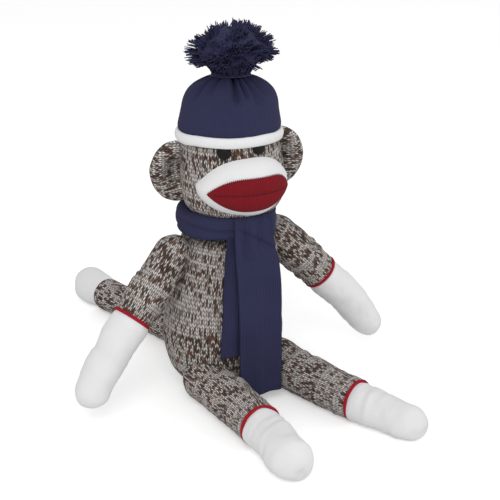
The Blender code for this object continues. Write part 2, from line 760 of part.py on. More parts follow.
def build_eye(name, side, head):
    """A domed black eye that lies on the head."""
    profile = []
    for i in range(5):
        angle = 90 * DEG * i / 4
        profile.append((EYE_R * math.sin(angle), EYE_THICK * (0.35 + 0.65 * math.cos(angle))))
    profile += [(EYE_R, 0.0), (0.0, 0.0)]
    eye = turned(name, profile, 14)
    lean = (HEAD_R - HEAD_TOP_R) / (HEAD_ABOVE_CENTRE * HEAD_SIDE_SHARE)
    on_head = math.sqrt(HEAD_R * HEAD_R - EYE_SPREAD ** 2)
    out = Vector((side * EYE_SPREAD + EYE_SHIFT, -on_head, HEAD_R * lean)).normalized()
    flat = (HEAD_R - lean * EYE_HEIGHT) * (1 - FACET_SAG) + 1.5 * GAP
    seat = Vector((out.x, out.y, 0.0)).normalized() * flat + Vector((0.0, 0.0, EYE_HEIGHT))
    turn = out.to_track_quat("Z", "Y").to_matrix().to_4x4()
    eye.data.transform(Matrix.Translation(seat) @ turn)
    finish(eye, name, BLACK_RGB, 0.6, head)


def build_ear(name, side, head, rooms):
    """A stuffed ear: an oval pad with a hollow in front, cut by the head and the cuff."""
    centre = (side * EAR_OUT, EAR_BACK, -EAR_DROP)
    pad = ball(name, (EAR_HALF_WIDTH, EAR_HALF_THICK, EAR_HALF_HEIGHT), centre, 18, 12)
    hollow_centre = (side * (EAR_OUT - EAR_HALF_WIDTH * 0.12), EAR_BACK - EAR_HALF_THICK * 1.15,
                     -EAR_DROP)
    dent = ball(name + "_hollow", (EAR_HALF_WIDTH * 0.58, EAR_HALF_THICK * 0.75,
                                   EAR_HALF_HEIGHT * 0.62), hollow_centre, 14, 8)
    as_cutter(dent, name + "_hollow", head)
    cut(pad, rooms + [dent])
    finish(pad, name, KNIT_RGB, 0.9, head)


def cap_bend(co):
    """Gathers of the cap, deepest under the pompom and gone at the cuff."""
    turn = math.atan2(co.y, co.x)
    rise = smooth_step((co.z - CUFF_BOTTOM - CUFF_HEIGHT) / (CAP_TOP - CUFF_BOTTOM - CUFF_HEIGHT))
    radius = math.hypot(co.x, co.y)
    ease = smooth_step(radius / (POMPOM_NECK_R * 1.5))
    draw = CAP_FOLD * rise * ease * (0.5 + 0.5 * math.cos(CAP_FOLDS * turn))
    if radius < GAP:
        return co
    return Vector((co.x * (1 - draw / radius), co.y * (1 - draw / radius), co.z))


def build_cap(head):
    low = CUFF_BOTTOM + CUFF_HEIGHT + GAP
    rise = CAP_TOP - low
    shares = [(0.0, 1.0), (0.33, 0.965), (0.60, 0.91), (0.78, 0.80), (0.88, 0.655), (0.945, 0.50),
              (1.0, 0.36), (1.0, 0.0)]
    crown = turned("hat_crown", [(CAP_R * r, low + rise * z) for r, z in shares],
                   CAP_FOLDS * 4, bend=cap_bend)
    hollow(crown, CAP_WALL)
    crown.data.transform(CAP_SEAT)
    finish(crown, "hat_crown", NAVY_RGB, 0.85, head)
    middle = (CAP_R + CAP_WALL - CUFF_THICK / 2, CUFF_BOTTOM + CUFF_HEIGHT / 2)
    section = closed_profile(middle, CUFF_THICK / 2, CUFF_HEIGHT / 2, 8, 0.75)
    cuff = turned("hat_cuff", section, ROUND, ring=True)
    cuff.data.transform(CAP_SEAT)
    finish(cuff, "hat_cuff", WHITE_RGB, 0.85, head)


def build_pompom(head):
    """A tuft of yarn that flares from its tied neck, in lobes."""
    base = CAP_TOP + GAP
    shares = [(0.0, 1.0), (0.50, 0.945), (0.88, 0.77), (1.0, 0.61), (0.93, 0.47), (0.76, 0.32),
              (0.55, 0.16)]
    profile = [(POMPOM_R * r, base + POMPOM_HEIGHT * z) for r, z in shares]
    profile += [(POMPOM_NECK_R, base + 2 * TIE_R), (POMPOM_NECK_R, base), (0.0, base)]

    def tufts(co):
        radius = math.hypot(co.x, co.y)
        if radius <= POMPOM_NECK_R * 1.001:
            return co
        turn = math.atan2(co.y, co.x)
        lobe = 0.07 * math.cos(POMPOM_TUFTS * turn + co.z / POMPOM_R * 4)
        return Vector((co.x * (1 + lobe), co.y * (1 + lobe), co.z))

    yarn = turned("pompom", profile, POMPOM_TUFTS * 4, bend=tufts)
    yarn.data.transform(CAP_SEAT)
    finish(yarn, "pompom", NAVY_RGB, 0.95, head)
    section = closed_profile((POMPOM_NECK_R + GAP + TIE_R, base + TIE_R + GAP), TIE_R, TIE_R, 6)
    tie = turned("pompom_tie", section, POMPOM_TUFTS * 2, ring=True)
    tie.data.transform(CAP_SEAT)
    finish(tie, "pompom_tie", NAVY_RGB, 0.9, head)


def build_head(head):
    cover_profile = [(0.0, HEAD_ABOVE_CENTRE)] + head_profile()
    cover = turned("head_cover", cover_profile, ROUND)
    hollow(cover, KNIT_WALL)
    finish(cover, "head_cover", KNIT_RGB, 0.9, head)
    inner = head_profile(HEAD_CORE_INSET)
    core = turned("head_filling", [(0.0, HEAD_ABOVE_CENTRE - HEAD_CORE_INSET)] + inner
                  + [(0.0, inner[-1][1])], CORE_ROUND)
    finish(core, "head_filling", STUFFING_RGB, 1.0, head)
    room_profile = [(0.0, HEAD_ABOVE_CENTRE + GAP)] + head_profile(-GAP)
    room = turned("head_room", room_profile + [(0.0, room_profile[-1][1])], ROUND)
    as_cutter(room, "head_room", head)
    reach = CAP_R + CAP_WALL + GAP
    low = CUFF_BOTTOM - GAP
    cap_room = turned("cap_room", [(0.0, CAP_TOP), (reach, CAP_TOP), (reach, low), (0.0, low)],
                      ROUND)
    cap_room.data.transform(CAP_SEAT)
    as_cutter(cap_room, "cap_room", head)
    build_muzzle(head, room)
    build_lips(head)
    for name, side in (("right", -1), ("left", 1)):
        build_eye(name + "_eye", side, head)
        build_ear(name + "_ear", side, head, [room, cap_room])
    build_cap(head)
    build_pompom(head)


def build_limb(side, kind, limb, seam, parent, floor=None, band=True, rings=(5, 5)):
    """Cover, white cap, red seam band and stuffing of one limb."""
    reach = BAND_LENGTH / 2 if band else GAP / 2
    prefix = side + "_" if side else ""
    cap_name = prefix + {"arm": "hand", "leg": "foot", "tail": "tail_tip"}[kind]
    cover = limb.tube(prefix + kind + "_cover", 0.0, seam - reach, rings[0], opened=("end",))
    hollow(cover, KNIT_WALL)
    cap = limb.tube(cap_name, seam + reach, limb.length, rings[1], opened=("start",))
    hollow(cap, KNIT_WALL)
    core = limb.tube(prefix + kind + "_filling", 0.0, limb.length, rings[0] + rings[1] - 2,
                     LIMB_CORE_INSET)
    finish(cover, prefix + kind + "_cover", KNIT_RGB, 0.9, parent)
    finish(cap, cap_name, WHITE_RGB, 0.9, parent)
    finish(core, prefix + kind + "_filling", STUFFING_RGB, 1.0, parent)
    resting = [cover, cap]
    if band:
        ring_name = prefix + {"arm": "wrist_band", "leg": "ankle_band"}[kind]
        resting.append(limb.band(ring_name, seam, parent))
    if floor is not None:
        for obj in resting:
            cut(obj, [floor])


def build_arm(side, sign, parent):
    elbow = (sign * ARM_ELBOW[0], ARM_ELBOW[1], ARM_ELBOW[2])
    tip = (sign * ARM_TIP[0], ARM_TIP[1], ARM_TIP[2])
    way = Vector(elbow).normalized()
    limb = Limb(-way * ARM_ROOT_R, elbow, tip,
                [(0.0, ARM_ROOT_R), (0.12, ARM_ROOT_R), (0.32, ARM_MID_R), (0.50, WRIST_R),
                 (0.75, HAND_R), (1.0, HAND_R)], ARM_ROOT_R, HAND_R)
    build_limb(side, "arm", limb, limb.length - ARM_CAP_LENGTH, parent)


def build_leg(side, swing, parent, floor):
    ankle = Vector((0.0, -LEG_TO_ANKLE, 0.0))
    toe = Vector((swing, -LEG_TO_ANKLE - FOOT_LENGTH, 0.0))
    limb = Limb((0.0, HIP_R, 0.0), ankle * 0.62, toe,
                [(0.0, HIP_R), (0.12, HIP_R), (0.25, THIGH_R), (0.57, ANKLE_R), (0.74, FOOT_R),
                 (1.0, FOOT_R * 0.95)], HIP_R, FOOT_R, -parent.location.z)
    seam = limb.length - FOOT_LENGTH
    build_limb(side, "leg", limb, seam, parent, floor)


def build_tail(parent, floor):
    tip_y = TAIL_LENGTH
    limb = Limb((0.0, -TAIL_R, 0.0), (0.0, tip_y / 2, 0.0), (0.0, tip_y, 0.0),
                [(0.0, TAIL_R), (0.80, TAIL_R), (0.92, TAIL_CAP_R), (1.0, TAIL_CAP_R)],
                TAIL_R, TAIL_CAP_R, -parent.location.z)
    build_limb("", "tail", limb, limb.length - TAIL_CAP_LENGTH, parent, floor, band=False,
               rings=(6, 3))


def main():
    floor = floor_cutter()
    rooms = []
    for side, sign, yaw, swing in (("right", -1, RIGHT_LEG_YAW_DEG, RIGHT_FOOT_SWING),
                                   ("left", 1, LEFT_LEG_YAW_DEG, LEFT_FOOT_SWING)):
        hip = pivot(side + "_hip_pivot", (sign * HIP_X, HIP_Y, HIP_R - FLAT), (0, 0, yaw * DEG))
        rooms += swept_room(side + "_hip_room", hip, HIP_R, LEG_TO_ANKLE,
                            (-LEG_UP_DEG, LEG_DOWN_DEG), "X")
        build_leg(side, swing, hip, floor)
        shoulder = pivot(side + "_shoulder_pivot", (sign * SHOULDER_X, 0.0, SHOULDER_Z))
        rooms += shoulder_room(side, sign, shoulder)
        build_arm(side, sign, shoulder)
    tail = pivot("tail_pivot", (TAIL_ROOT_X, TAIL_ROOT_Y, TAIL_R - FLAT),
                 (0, 0, TAIL_YAW_DEG * DEG))
    rooms += swept_room("tail_room", tail, TAIL_R, TAIL_LENGTH / 2,
                        (-TAIL_SWING_DEG, TAIL_SWING_DEG), "Z")
    build_tail(tail, floor)
    rooms.append(as_cutter(wrap_ring("wrap_room", 1.5 * GAP), "wrap_room"))
    build_body(rooms, floor)
    neck = pivot("neck_pivot", HEAD_CENTRE)
    build_neck(neck)
    build_wrap()
    build_scarf_ends()
    head = pivot("head_pivot", HEAD_CENTRE, (0, HEAD_ROLL_DEG * DEG, HEAD_YAW_DEG * DEG))
    build_head(head)


main()
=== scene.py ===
# %% [markdown]
# # A sitting doll, sewn from knitted socks
# The doll is made of knitted tubes, filled with loose fibre and sewn shut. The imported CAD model
# already says where each tube lies and what it turns on, so it is loaded first and never moved.
# Each soft solid of it is then hidden behind a piece of knit of the same shape.

# %% Load the fixed frame
import math

import bpy
import numpy as np
from mathutils import Matrix, Vector


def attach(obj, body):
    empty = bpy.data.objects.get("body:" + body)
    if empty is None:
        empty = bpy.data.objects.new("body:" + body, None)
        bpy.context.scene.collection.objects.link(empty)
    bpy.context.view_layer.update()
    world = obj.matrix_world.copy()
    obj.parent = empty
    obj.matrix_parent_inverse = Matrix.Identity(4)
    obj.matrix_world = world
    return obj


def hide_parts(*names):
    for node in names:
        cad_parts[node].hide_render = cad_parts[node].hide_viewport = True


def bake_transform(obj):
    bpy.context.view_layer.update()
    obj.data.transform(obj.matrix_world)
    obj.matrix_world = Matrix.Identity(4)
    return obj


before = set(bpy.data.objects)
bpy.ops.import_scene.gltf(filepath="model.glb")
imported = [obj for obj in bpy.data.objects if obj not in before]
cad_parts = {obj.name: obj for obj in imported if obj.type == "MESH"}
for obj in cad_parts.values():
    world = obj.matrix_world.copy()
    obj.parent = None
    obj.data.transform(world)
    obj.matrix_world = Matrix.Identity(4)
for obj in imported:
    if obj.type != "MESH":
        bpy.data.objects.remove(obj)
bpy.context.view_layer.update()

# %% [markdown]
# Operators act on whatever is selected, and the loaded solids start out selected. Clearing the
# selection first keeps every later step on its own piece.


# %% Clear the selection
def deselect():
    """Leave edit mode and select nothing."""
    if bpy.context.object and bpy.context.object.mode != "OBJECT":
        bpy.ops.object.mode_set(mode="OBJECT")
    bpy.ops.object.select_all(action="DESELECT")


def pick(piece):
    """Select one piece alone and make it the active one."""
    deselect()
    piece.select_set(True)
    bpy.context.view_layer.objects.active = piece


def begin(name, primitive, **sizes):
    """Add a primitive as the start of a named piece, with its place and turn in its mesh."""
    deselect()
    primitive(**sizes)
    bpy.ops.object.transform_apply()
    piece = bpy.context.object
    piece.name = piece.data.name = name
    return piece


deselect()
SIDES = (("right", -1), ("left", 1))    # the doll's own right and left, along X

# %% [markdown]
# ## Finishes
# A finish starts from a colour and a few numbers. Colours are written as they look on a screen,
# and one function turns them into the linear light that shaders add up. One more function adds
# a node with its settings and links, so that each finish reads as a list of steps.


# %% Colours and nodes
def linear(code):
    """The linear colour of an sRGB hex code."""
    parts = [int(code[i:i + 2], 16) / 255 for i in (1, 3, 5)]
    return [c / 12.92 if c <= 0.04045 else ((c + 0.055) / 1.055) ** 2.4 for c in parts] + [1.0]


def node(material, kind, inputs=None, out=0, **settings):
    """Add a shader node and give one of its outputs.

    An input is a value, or the output of another node."""
    made = material.node_tree.nodes.new("ShaderNode" + kind)
    for name, value in settings.items():
        setattr(made, name, value)
    for socket, value in (inputs or {}).items():
        if isinstance(value, bpy.types.NodeSocket):
            material.node_tree.links.new(value, made.inputs[socket])
        else:
            made.inputs[socket].default_value = value
    return made.outputs[out]


def new_finish(name, rough, sheen):
    """A material with its one shader, and the numbers that are the same all over it."""
    material = bpy.data.materials.new(name)
    material.use_nodes = True
    shader = material.node_tree.nodes["Principled BSDF"]
    shader.inputs["Roughness"].default_value = rough
    shader.inputs["Sheen Weight"].default_value = sheen
    shader.inputs["Sheen Roughness"].default_value = 0.5
    shader.inputs["Specular IOR Level"].default_value = 0.2
    return material, shader


def finish_with(material, shader, colour, height, strength, depth):
    """End a finish with its colour, and with its relief as a bump of a real depth."""
    bump = node(material, "Bump", {"Height": height, "Strength": strength, "Distance": depth})
    material.node_tree.links.new(colour, shader.inputs["Base Color"])
    material.node_tree.links.new(bump, shader.inputs["Normal"])
    return material


# %% [markdown]
# ### Ragg knit
# The body is knitted from ragg yarn: light and dark wool plies twisted together. A knitted
# column is made of V stitches, and a column is 3.5 mm wide here. Two patterns lie over each
# other: the V stitches, which give the relief, and the yarn's colour, which changes slowly
# along each row, so that light, dark and rusty dashes lie in bands round the doll.

# %% Sizes and tones of the knit
COLUMN, ROW = 0.0035, 0.0034        # one column of V stitches, and one row
WAVER = 0.0016                      # how far hand-fed yarn strays
LEG_SLOPE = 1.5                     # rows that a leg of a V would climb over a whole column
BAND_PLACE = (0.008, 0.42, 0.0)     # a band of one tone is long along a row, and thin across it
BAND_SHARE, LEG_SHARE, LOWEST = 1.2, 0.86, -0.52    # what a band and a single leg do to the tone
YARN_TONES = [(0.0, "#4C3E38"), (0.24, "#65534B"), (0.31, "#845A48"), (0.40, "#998A82"),
              (0.52, "#CFC6C0"), (1.0, "#EEE8E4")]


# %% Ragg knit
def ragg_knit(name):
    """A marled knit: V stitches for the relief, and a tone of yarn for each leg of a V."""
    knit, shader = new_finish(name, 0.95, 0.03)
    uv = node(knit, "UVMap", uv_map="knit")
    # Hand-fed yarn never lies quite straight, so the grid of stitches wavers a little.
    waver = node(knit, "TexNoise", {"Vector": uv, "Scale": 70.0}, out="Color")
    waver = node(knit, "VectorMath", {0: waver, 1: (0.5, 0.5, 0.5)}, operation="SUBTRACT")
    uv = node(knit, "VectorMath", {0: waver, 1: (WAVER,) * 3, 2: uv}, operation="MULTIPLY_ADD")
    place = node(knit, "SeparateXYZ", {0: uv}).node.outputs
    column = node(knit, "Math", {0: place[0], 1: COLUMN}, operation="DIVIDE")
    plain_row = node(knit, "Math", {0: place[1], 1: ROW}, operation="DIVIDE")
    # Each column's two legs slope down to its middle, which is what draws the V.
    off_edge = node(knit, "Math", {0: column, 1: 0.5}, operation="PINGPONG")
    row = node(knit, "Math", {0: off_edge, 1: LEG_SLOPE, 2: plain_row}, operation="MULTIPLY_ADD")
    across = node(knit, "Math", {0: column, 1: 0.25}, operation="PINGPONG")
    swell = node(knit, "Math", {0: row, 1: 0.5}, operation="PINGPONG")
    across = node(knit, "MapRange", {0: across, 1: 0.02, 2: 0.19})
    swell = node(knit, "MapRange", {0: swell, 1: 0.0, 2: 0.34})
    relief = node(knit, "Math", {0: across, 1: swell}, operation="MULTIPLY")
    # The yarn's colour: one number for each leg of a V, and slow bands along the rows.
    half_column = node(knit, "Math", {0: column, 1: 2.0}, operation="MULTIPLY")
    leg_x = node(knit, "Math", {0: half_column}, operation="FLOOR")
    leg_y = node(knit, "Math", {0: row}, operation="FLOOR")
    leg = node(knit, "CombineXYZ", {0: leg_x, 1: leg_y})
    single = node(knit, "TexWhiteNoise", {0: leg}, out="Value", noise_dimensions="2D")
    at = node(knit, "VectorMath", {0: leg, 1: BAND_PLACE}, operation="MULTIPLY")
    band = node(knit, "TexNoise", {"Vector": at, "Scale": 1.0, "Detail": 1.0}, out="Fac")
    tone = node(knit, "Math", {0: band, 1: BAND_SHARE, 2: LOWEST}, operation="MULTIPLY_ADD")
    tone = node(knit, "Math", {0: single, 1: LEG_SHARE, 2: tone}, operation="MULTIPLY_ADD")
    yarn = node(knit, "ValToRGB", {0: tone})
    tones = yarn.node.color_ramp.elements
    for at, code in YARN_TONES[1:-1]:
        tones.new(at).color = linear(code)
    tones[0].color, tones[-1].color = linear(YARN_TONES[0][1]), linear(YARN_TONES[-1][1])
    # Two plies twist round each other, so a light and a dark thread show along every leg.
    plies = node(knit, "TexNoise", {"Vector": uv, "Scale": 1500.0}, out="Fac")
    plies = node(knit, "MapRange", {0: plies, 1: 0.35, 2: 0.65, 3: 0.72, 4: 1.12})
    # Little light reaches the grooves between the stitches.
    groove = node(knit, "MapRange", {0: relief, 1: 0.0, 2: 0.75, 3: 0.20, 4: 1.10})
    dark = node(knit, "Math", {0: groove, 1: plies}, operation="MULTIPLY")
    shade = node(knit, "Mix", {"Factor": 1.0, 6: yarn, 7: dark}, out=2,
                 data_type="RGBA", blend_type="MULTIPLY")
    return finish_with(knit, shader, shade, relief, 0.8, 0.0009)


RAGG = ragg_knit("ragg wool knit")
print("finish:", RAGG.name, "columns of", COLUMN * 1000, "mm")

# %% [markdown]
# ### Ribbed and plain knits
# The cap, scarf and lips are fine ribs: ridges 1.6 or 1.7 mm apart that run along the strip.
# The hands, feet and muzzle are a plain white jersey, whose columns are too fine to see from
# here, so they are drawn 1.4 mm wide to leave a trace. One function makes both from a rib width.

# %% Fine knits
WEAR = 0.5      # how much darker cloth is where it has creased or been touched


def fine_knit(name, code, dark_code, rib, depth):
    """A knit of parallel ribs that run along V of the piece's own map."""
    knit, shader = new_finish(name, 0.9, 0.0)
    uv = node(knit, "UVMap", uv_map="knit")
    place = node(knit, "SeparateXYZ", {0: uv}).node.outputs
    across = node(knit, "Math", {0: place[0], 1: rib}, operation="DIVIDE")
    ridge = node(knit, "Math", {0: across, 1: 0.5}, operation="PINGPONG")
    ridge = node(knit, "MapRange", {0: ridge, 1: 0.05, 2: 0.42}, interpolation_type="SMOOTHSTEP")
    # A loop is a little shorter than the rib is wide.
    along = node(knit, "Math", {0: place[1], 1: rib * 0.8}, operation="DIVIDE")
    loop = node(knit, "Math", {0: along, 1: 0.5}, operation="PINGPONG")
    relief = node(knit, "Math", {0: loop, 1: 0.35, 2: ridge}, operation="MULTIPLY_ADD")
    at = node(knit, "TexCoord", out="Object")
    patch = node(knit, "TexNoise", {"Vector": at, "Scale": 45.0, "Detail": 3.0}, out="Fac")
    tone = node(knit, "Math", {0: patch, 1: WEAR, 2: 0.5 - WEAR * 0.5}, operation="MULTIPLY_ADD")
    # Painted shade: each rib's ridge is lighter and the groove between ribs darker, following the relief.
    tone = node(knit, "Math", {0: ridge, 1: 0.5, 2: tone}, operation="MULTIPLY_ADD")
    colour = node(knit, "Mix", {"Factor": tone, 6: linear(dark_code), 7: linear(code)}, out=2,
                  data_type="RGBA")
    return finish_with(knit, shader, colour, relief, 0.5, depth)


RIB = 0.0017            # the cap's and the scarf's ridges
JERSEY = fine_knit("white cotton jersey", "#EAEAEB", "#DADADC", 0.0014, 0.00015)
NAVY = fine_knit("navy acrylic rib", "#323352", "#1F2037", RIB, 0.0005)
RED = fine_knit("red acrylic rib", "#82141F", "#4F0A15", 0.0016, 0.0004)
RED_BAND = fine_knit("red seam yarn", "#A81C2C", "#7C101E", 0.0012, 0.0003)
print("finishes:", JERSEY.name + ",", NAVY.name + ",", RED.name + ",", RED_BAND.name)

# %% [markdown]
# ### Yarn, floss and thread
# The pompom is cut from loose acrylic yarn, the eyes are worked in black embroidery floss and
# the mouth is sewn with dark red thread. All are bundles of thin fibre, so the gaps between the
# strands get painted shade, and they shine a little along them.


# %% Loose fibre
def fibre(name, code, dark_code, scale, rough, sheen):
    """A bundle of thin fibre, with painted shade in the gaps between its strands."""
    material, shader = new_finish(name, rough, sheen)
    at = node(material, "TexCoord", out="Object")
    strand_gaps = node(material, "TexNoise", {"Vector": at, "Scale": scale, "Detail": 2.0}, out="Fac")
    # Painted shade: the colour follows the strands' bump, darker where it is low, in the gaps between
    # strands.
    spread = node(material, "MapRange", {0: strand_gaps, 1: 0.3, 2: 0.7})
    colour = node(material, "Mix", {"Factor": spread, 6: linear(dark_code), 7: linear(code)},
                  out=2, data_type="RGBA")
    return finish_with(material, shader, colour, strand_gaps, 0.3, 0.0003)


YARN = fibre("navy acrylic yarn", "#36375C", "#1C1D34", 500.0, 0.8, 0.05)
FLOSS = fibre("black cotton floss", "#1C1A1B", "#0B0A0B", 900.0, 0.6, 0.0)
THREAD = fibre("dark red sewing thread", "#4C0A14", "#2E060C", 900.0, 0.7, 0.1)
print("finishes:", YARN.name + ",", FLOSS.name + ",", THREAD.name)

# %% [markdown]
# ## Knitted tubes
# A sock is a flat sheet of knit that is rolled up and closed along one side. The pieces are
# made the same way: a flat grid is rolled round a centre line and its edges are merged. The
# grid comes with a map of the flat sheet, which is kept in real metres, so the columns of
# stitches run along each tube and their number goes once round it.


# %% Roll a sheet into a tube
def smooth(t):
    """Ease from 0 to 1."""
    t = max(0.0, min(1.0, t))
    return t * t * (3 - 2 * t)


def frames(centres, first):
    """A side and a far direction square to the line at each centre, with no twist."""
    found = []
    side = Vector(first)
    for i in range(len(centres)):
        low, high = max(i - 1, 0), min(i + 1, len(centres) - 1)
        while high < len(centres) - 1 and (centres[high] - centres[low]).length < 1e-7:
            high += 1
        way = centres[high] - centres[low]
        way = way.normalized() if way.length > 1e-7 else found[-1][2]
        side = (side - way * side.dot(way)).normalized()
        found.append((side, way.cross(side), way))
    return found


def knit_map(piece, wide, tall):
    """Stretch a piece's own map to the size of its flat sheet, in metres."""
    layer = piece.data.uv_layers.active
    layer.name = "knit"
    for spot in layer.data:
        spot.uv = (spot.uv.x * wide, spot.uv.y * tall)


def sew(piece):
    """Merge what lies together and point the faces outwards."""
    pick(piece)
    bpy.ops.object.mode_set(mode="EDIT")
    bpy.ops.mesh.select_all(action="SELECT")
    bpy.ops.mesh.remove_doubles(threshold=1e-6)
    bpy.ops.mesh.normals_make_consistent(inside=False)
    bpy.ops.object.mode_set(mode="OBJECT")


def roll(name, stations, seam, sides, column=COLUMN, depth_share=1.0, shape=None):
    """Roll a sheet of knit round (centre, radius) stations; seam is where its edge is hidden."""
    rings = len(stations) - 1
    tube = begin(name, bpy.ops.mesh.primitive_grid_add, x_subdivisions=sides, y_subdivisions=rings, size=1.0)
    run = [0.0]
    for (a, ra), (b, rb) in zip(stations, stations[1:]):
        run.append(run[-1] + math.hypot((b - a).length, rb - ra))
    widest = max(radius for _, radius in stations)
    columns = round(2 * math.pi * widest / column)
    turned = frames([centre for centre, _ in stations], seam)
    for vertex in tube.data.vertices:
        i, j = round((vertex.co.x + 0.5) * sides), round((vertex.co.y + 0.5) * rings)
        angle = 2 * math.pi * i / sides
        centre, radius = stations[j]
        side, far, _ = turned[j]
        if shape:
            radius *= shape(angle)
        vertex.co = centre + (side * math.cos(angle) + far * math.sin(angle)) * radius
        vertex.co.y = centre.y + (vertex.co.y - centre.y) * depth_share
    layer = tube.data.uv_layers.active
    layer.name = "knit"
    for spot in layer.data:
        spot.uv = (spot.uv.x * columns * column, run[round(spot.uv.y * rings)])
    sew(tube)
    return tube


# %% [markdown]
# Stuffed cloth is never quite even. A Displace modifier with a soft cloud pattern presses folds
# of a chosen size into a piece, and short creases are pressed across a limb, where its cloth has
# buckled. Where the doll sits, the cloth lies flat on the floor, so no point goes below it.
# A flat piece of cloth gets its thickness from Solidify, and every piece is shaded smooth.


# %% Folds and finishing
def above_floor(piece):
    for vertex in piece.data.vertices:
        vertex.co.z = max(vertex.co.z, 0.0)


def fold(piece, size, depth):
    """Press soft folds into a piece, and keep it above the floor."""
    cloud = bpy.data.textures.new(piece.name + "_folds", "CLOUDS")
    cloud.noise_scale = size
    cloud.noise_depth = 1
    pick(piece)
    folds = piece.modifiers.new("folds", "DISPLACE")
    folds.texture = cloud
    folds.texture_coords = "LOCAL"
    folds.strength = depth
    bpy.ops.object.modifier_apply(modifier="folds")
    above_floor(piece)


def wrinkle(piece, limb, start, end, count, depth, seed):
    """Press short creases across a limb, from start to end along its line."""
    random = np.random.default_rng(seed)
    marks = np.linspace(start, end, 60)
    spots = np.array([limb["place"] @ at_length(limb["line"], s) for s in marks])
    if limb["rests"]:
        spots[:, 2] = limb["root"] * 0.9
    # Each crease: its places along and round the limb, its reach round it in radians, its slant,
    # its width and how strong it is.
    creases = [(random.uniform(start, end), random.uniform(0, 2 * math.pi),
                random.uniform(0.5, 1.3), random.uniform(-0.004, 0.004),
                random.uniform(0.0011, 0.0022), random.uniform(0.4, 1.0)) for _ in range(count)]
    for vertex in piece.data.vertices:
        nearest = int(np.argmin(((spots - np.array(vertex.co)) ** 2).sum(axis=1)))
        out = vertex.co - Vector(spots[nearest])
        if out.length < 0.004:
            continue
        s, angle = marks[nearest], math.atan2(out.z, out.x)
        move = 0.0
        for at, middle, spread, slant, wide, strong in creases:
            away = (angle - middle + math.pi) % (2 * math.pi) - math.pi
            along = (s - at - slant * away) / wide
            # The cloth beside a crease stands up a little.
            shape = math.exp(-along * along) - 0.6 * math.exp(-((along - 1.9) / 1.3) ** 2)
            move += strong * math.exp(-(away / spread) ** 2) * shape
        vertex.co -= out.normalized() * depth * move


def thicken(piece, thickness, offset):
    """Give a flat piece of cloth its thickness; offset -1 puts all of it on the inner side."""
    skin = piece.modifiers.new("cloth", "SOLIDIFY")
    skin.thickness = thickness
    skin.offset = offset
    bpy.ops.object.modifier_apply(modifier="cloth")


def wear(piece, material, body, slot, *nodes):
    """Give a piece its finish, its body and the solids that it stands for."""
    pick(piece)
    bpy.ops.object.shade_smooth()
    piece.data.materials.clear()
    piece.data.materials.append(material)
    if body:
        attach(piece, body)
    if nodes:
        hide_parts(*nodes)
    print("made", piece.name, "with", len(piece.data.polygons), "faces")
    return piece


# %% [markdown]
# ## Body
# The body is the sock's foot, stuffed into a pear: narrow at the shoulders, wide and low where
# the doll sits. Its outline is a list of radii over heights, and the same outline rolls the
# sheet. The arms and legs are sewn into it.

# %% Body
HALF_WIDTH, HALF_DEPTH, BODY_HEIGHT, BODY_X = 0.0555, 0.0515, 0.1565, -0.0040
NECK_X, NECK_Y = 0.0032, -0.0050
BODY = [(0.000, 0.0), (0.180, 0.000), (0.430, 0.014), (0.690, 0.058), (0.870, 0.130),
        (0.975, 0.232), (1.000, 0.350), (0.960, 0.470), (0.905, 0.600), (0.868, 0.720),
        (0.835, 0.820), (0.775, 0.898), (0.690, 0.940), (0.530, 0.968), (0.330, 1.000),
        (0.000, 1.004)]


def dense(outline, count):
    """More points along an outline, on a smooth curve through the given ones."""
    points = [Vector((r, z)) for r, z in outline]
    found = []
    for i in range(len(points) - 1):
        a, b = points[i], points[i + 1]
        before = points[i - 1] if i else a
        after = points[i + 2] if i + 2 < len(points) else b
        for k in range(count):
            t = k / count
            slope_a, slope_b = (b - before) / 2, (after - a) / 2
            found.append(a * (2 * t ** 3 - 3 * t ** 2 + 1) + slope_a * (t ** 3 - 2 * t ** 2 + t)
                         + b * (3 * t ** 2 - 2 * t ** 3) + slope_b * (t ** 3 - t ** 2))
    return [(max(p.x, 0.0), p.y) for p in found + [points[-1]]]


stations = [(Vector((BODY_X + (NECK_X - BODY_X) * smooth(z * 2 - 1), 0, BODY_HEIGHT * z)),
             HALF_WIDTH * r) for r, z in dense(BODY, 6)]
body = roll("body_knit", stations, (0, 1, 0), sides=96, depth_share=HALF_DEPTH / HALF_WIDTH)
fold(body, 0.035, 0.0022)
wear(body, RAGG, "torso", "ragg_knit", "torso_cover", "torso_filling")

# %% [markdown]
# ## Arms, legs and tail
# Each limb is one long tube: straight from its root to its middle, then easing over to its
# tip. The sleeve and the white end are two pieces of one line, with a red seam between them,
# and their radii come from one list, so that they meet. A limb's own line is worked out in the
# same way as its solid's, from its root, middle and tip.


# %% A limb's line and radius
LINE_STEPS = 240


def limb_line(root, middle, tip):
    """Points along a limb, and how far along it each one is."""
    a, b, c = (Vector(p) for p in (root, middle, tip))
    first, second = (b - a).length, (c - b).length
    points = []
    for i in range(LINE_STEPS + 1):
        t, bend = i / LINE_STEPS, first / (first + second)
        if t <= bend:
            points.append(a.lerp(b, t / bend))
        else:
            share = (t - bend) / (1 - bend)
            ahead = (b - a) / first * second
            points.append(b + ahead * share + (c - b - ahead) * share * share)
    lengths = [0.0]
    for p, q in zip(points, points[1:]):
        lengths.append(lengths[-1] + (q - p).length)
    return points, lengths


def at_length(line, s):
    """The point at a distance along a line."""
    points, lengths = line
    i = int(np.searchsorted(lengths, max(0.0, min(lengths[-1], s))))
    i = max(1, min(i, len(points) - 1))
    share = (s - lengths[i - 1]) / (lengths[i] - lengths[i - 1])
    return points[i - 1].lerp(points[i], max(0.0, min(1.0, share)))


def radius_at(radii, total, s):
    """The limb's radius at a distance along it, without its round ends."""
    share = s / total
    for (s0, r0), (s1, r1) in zip(radii, radii[1:]):
        if share <= s1:
            return r0 + (r1 - r0) * smooth((share - s0) / (s1 - s0))
    return radii[-1][1]


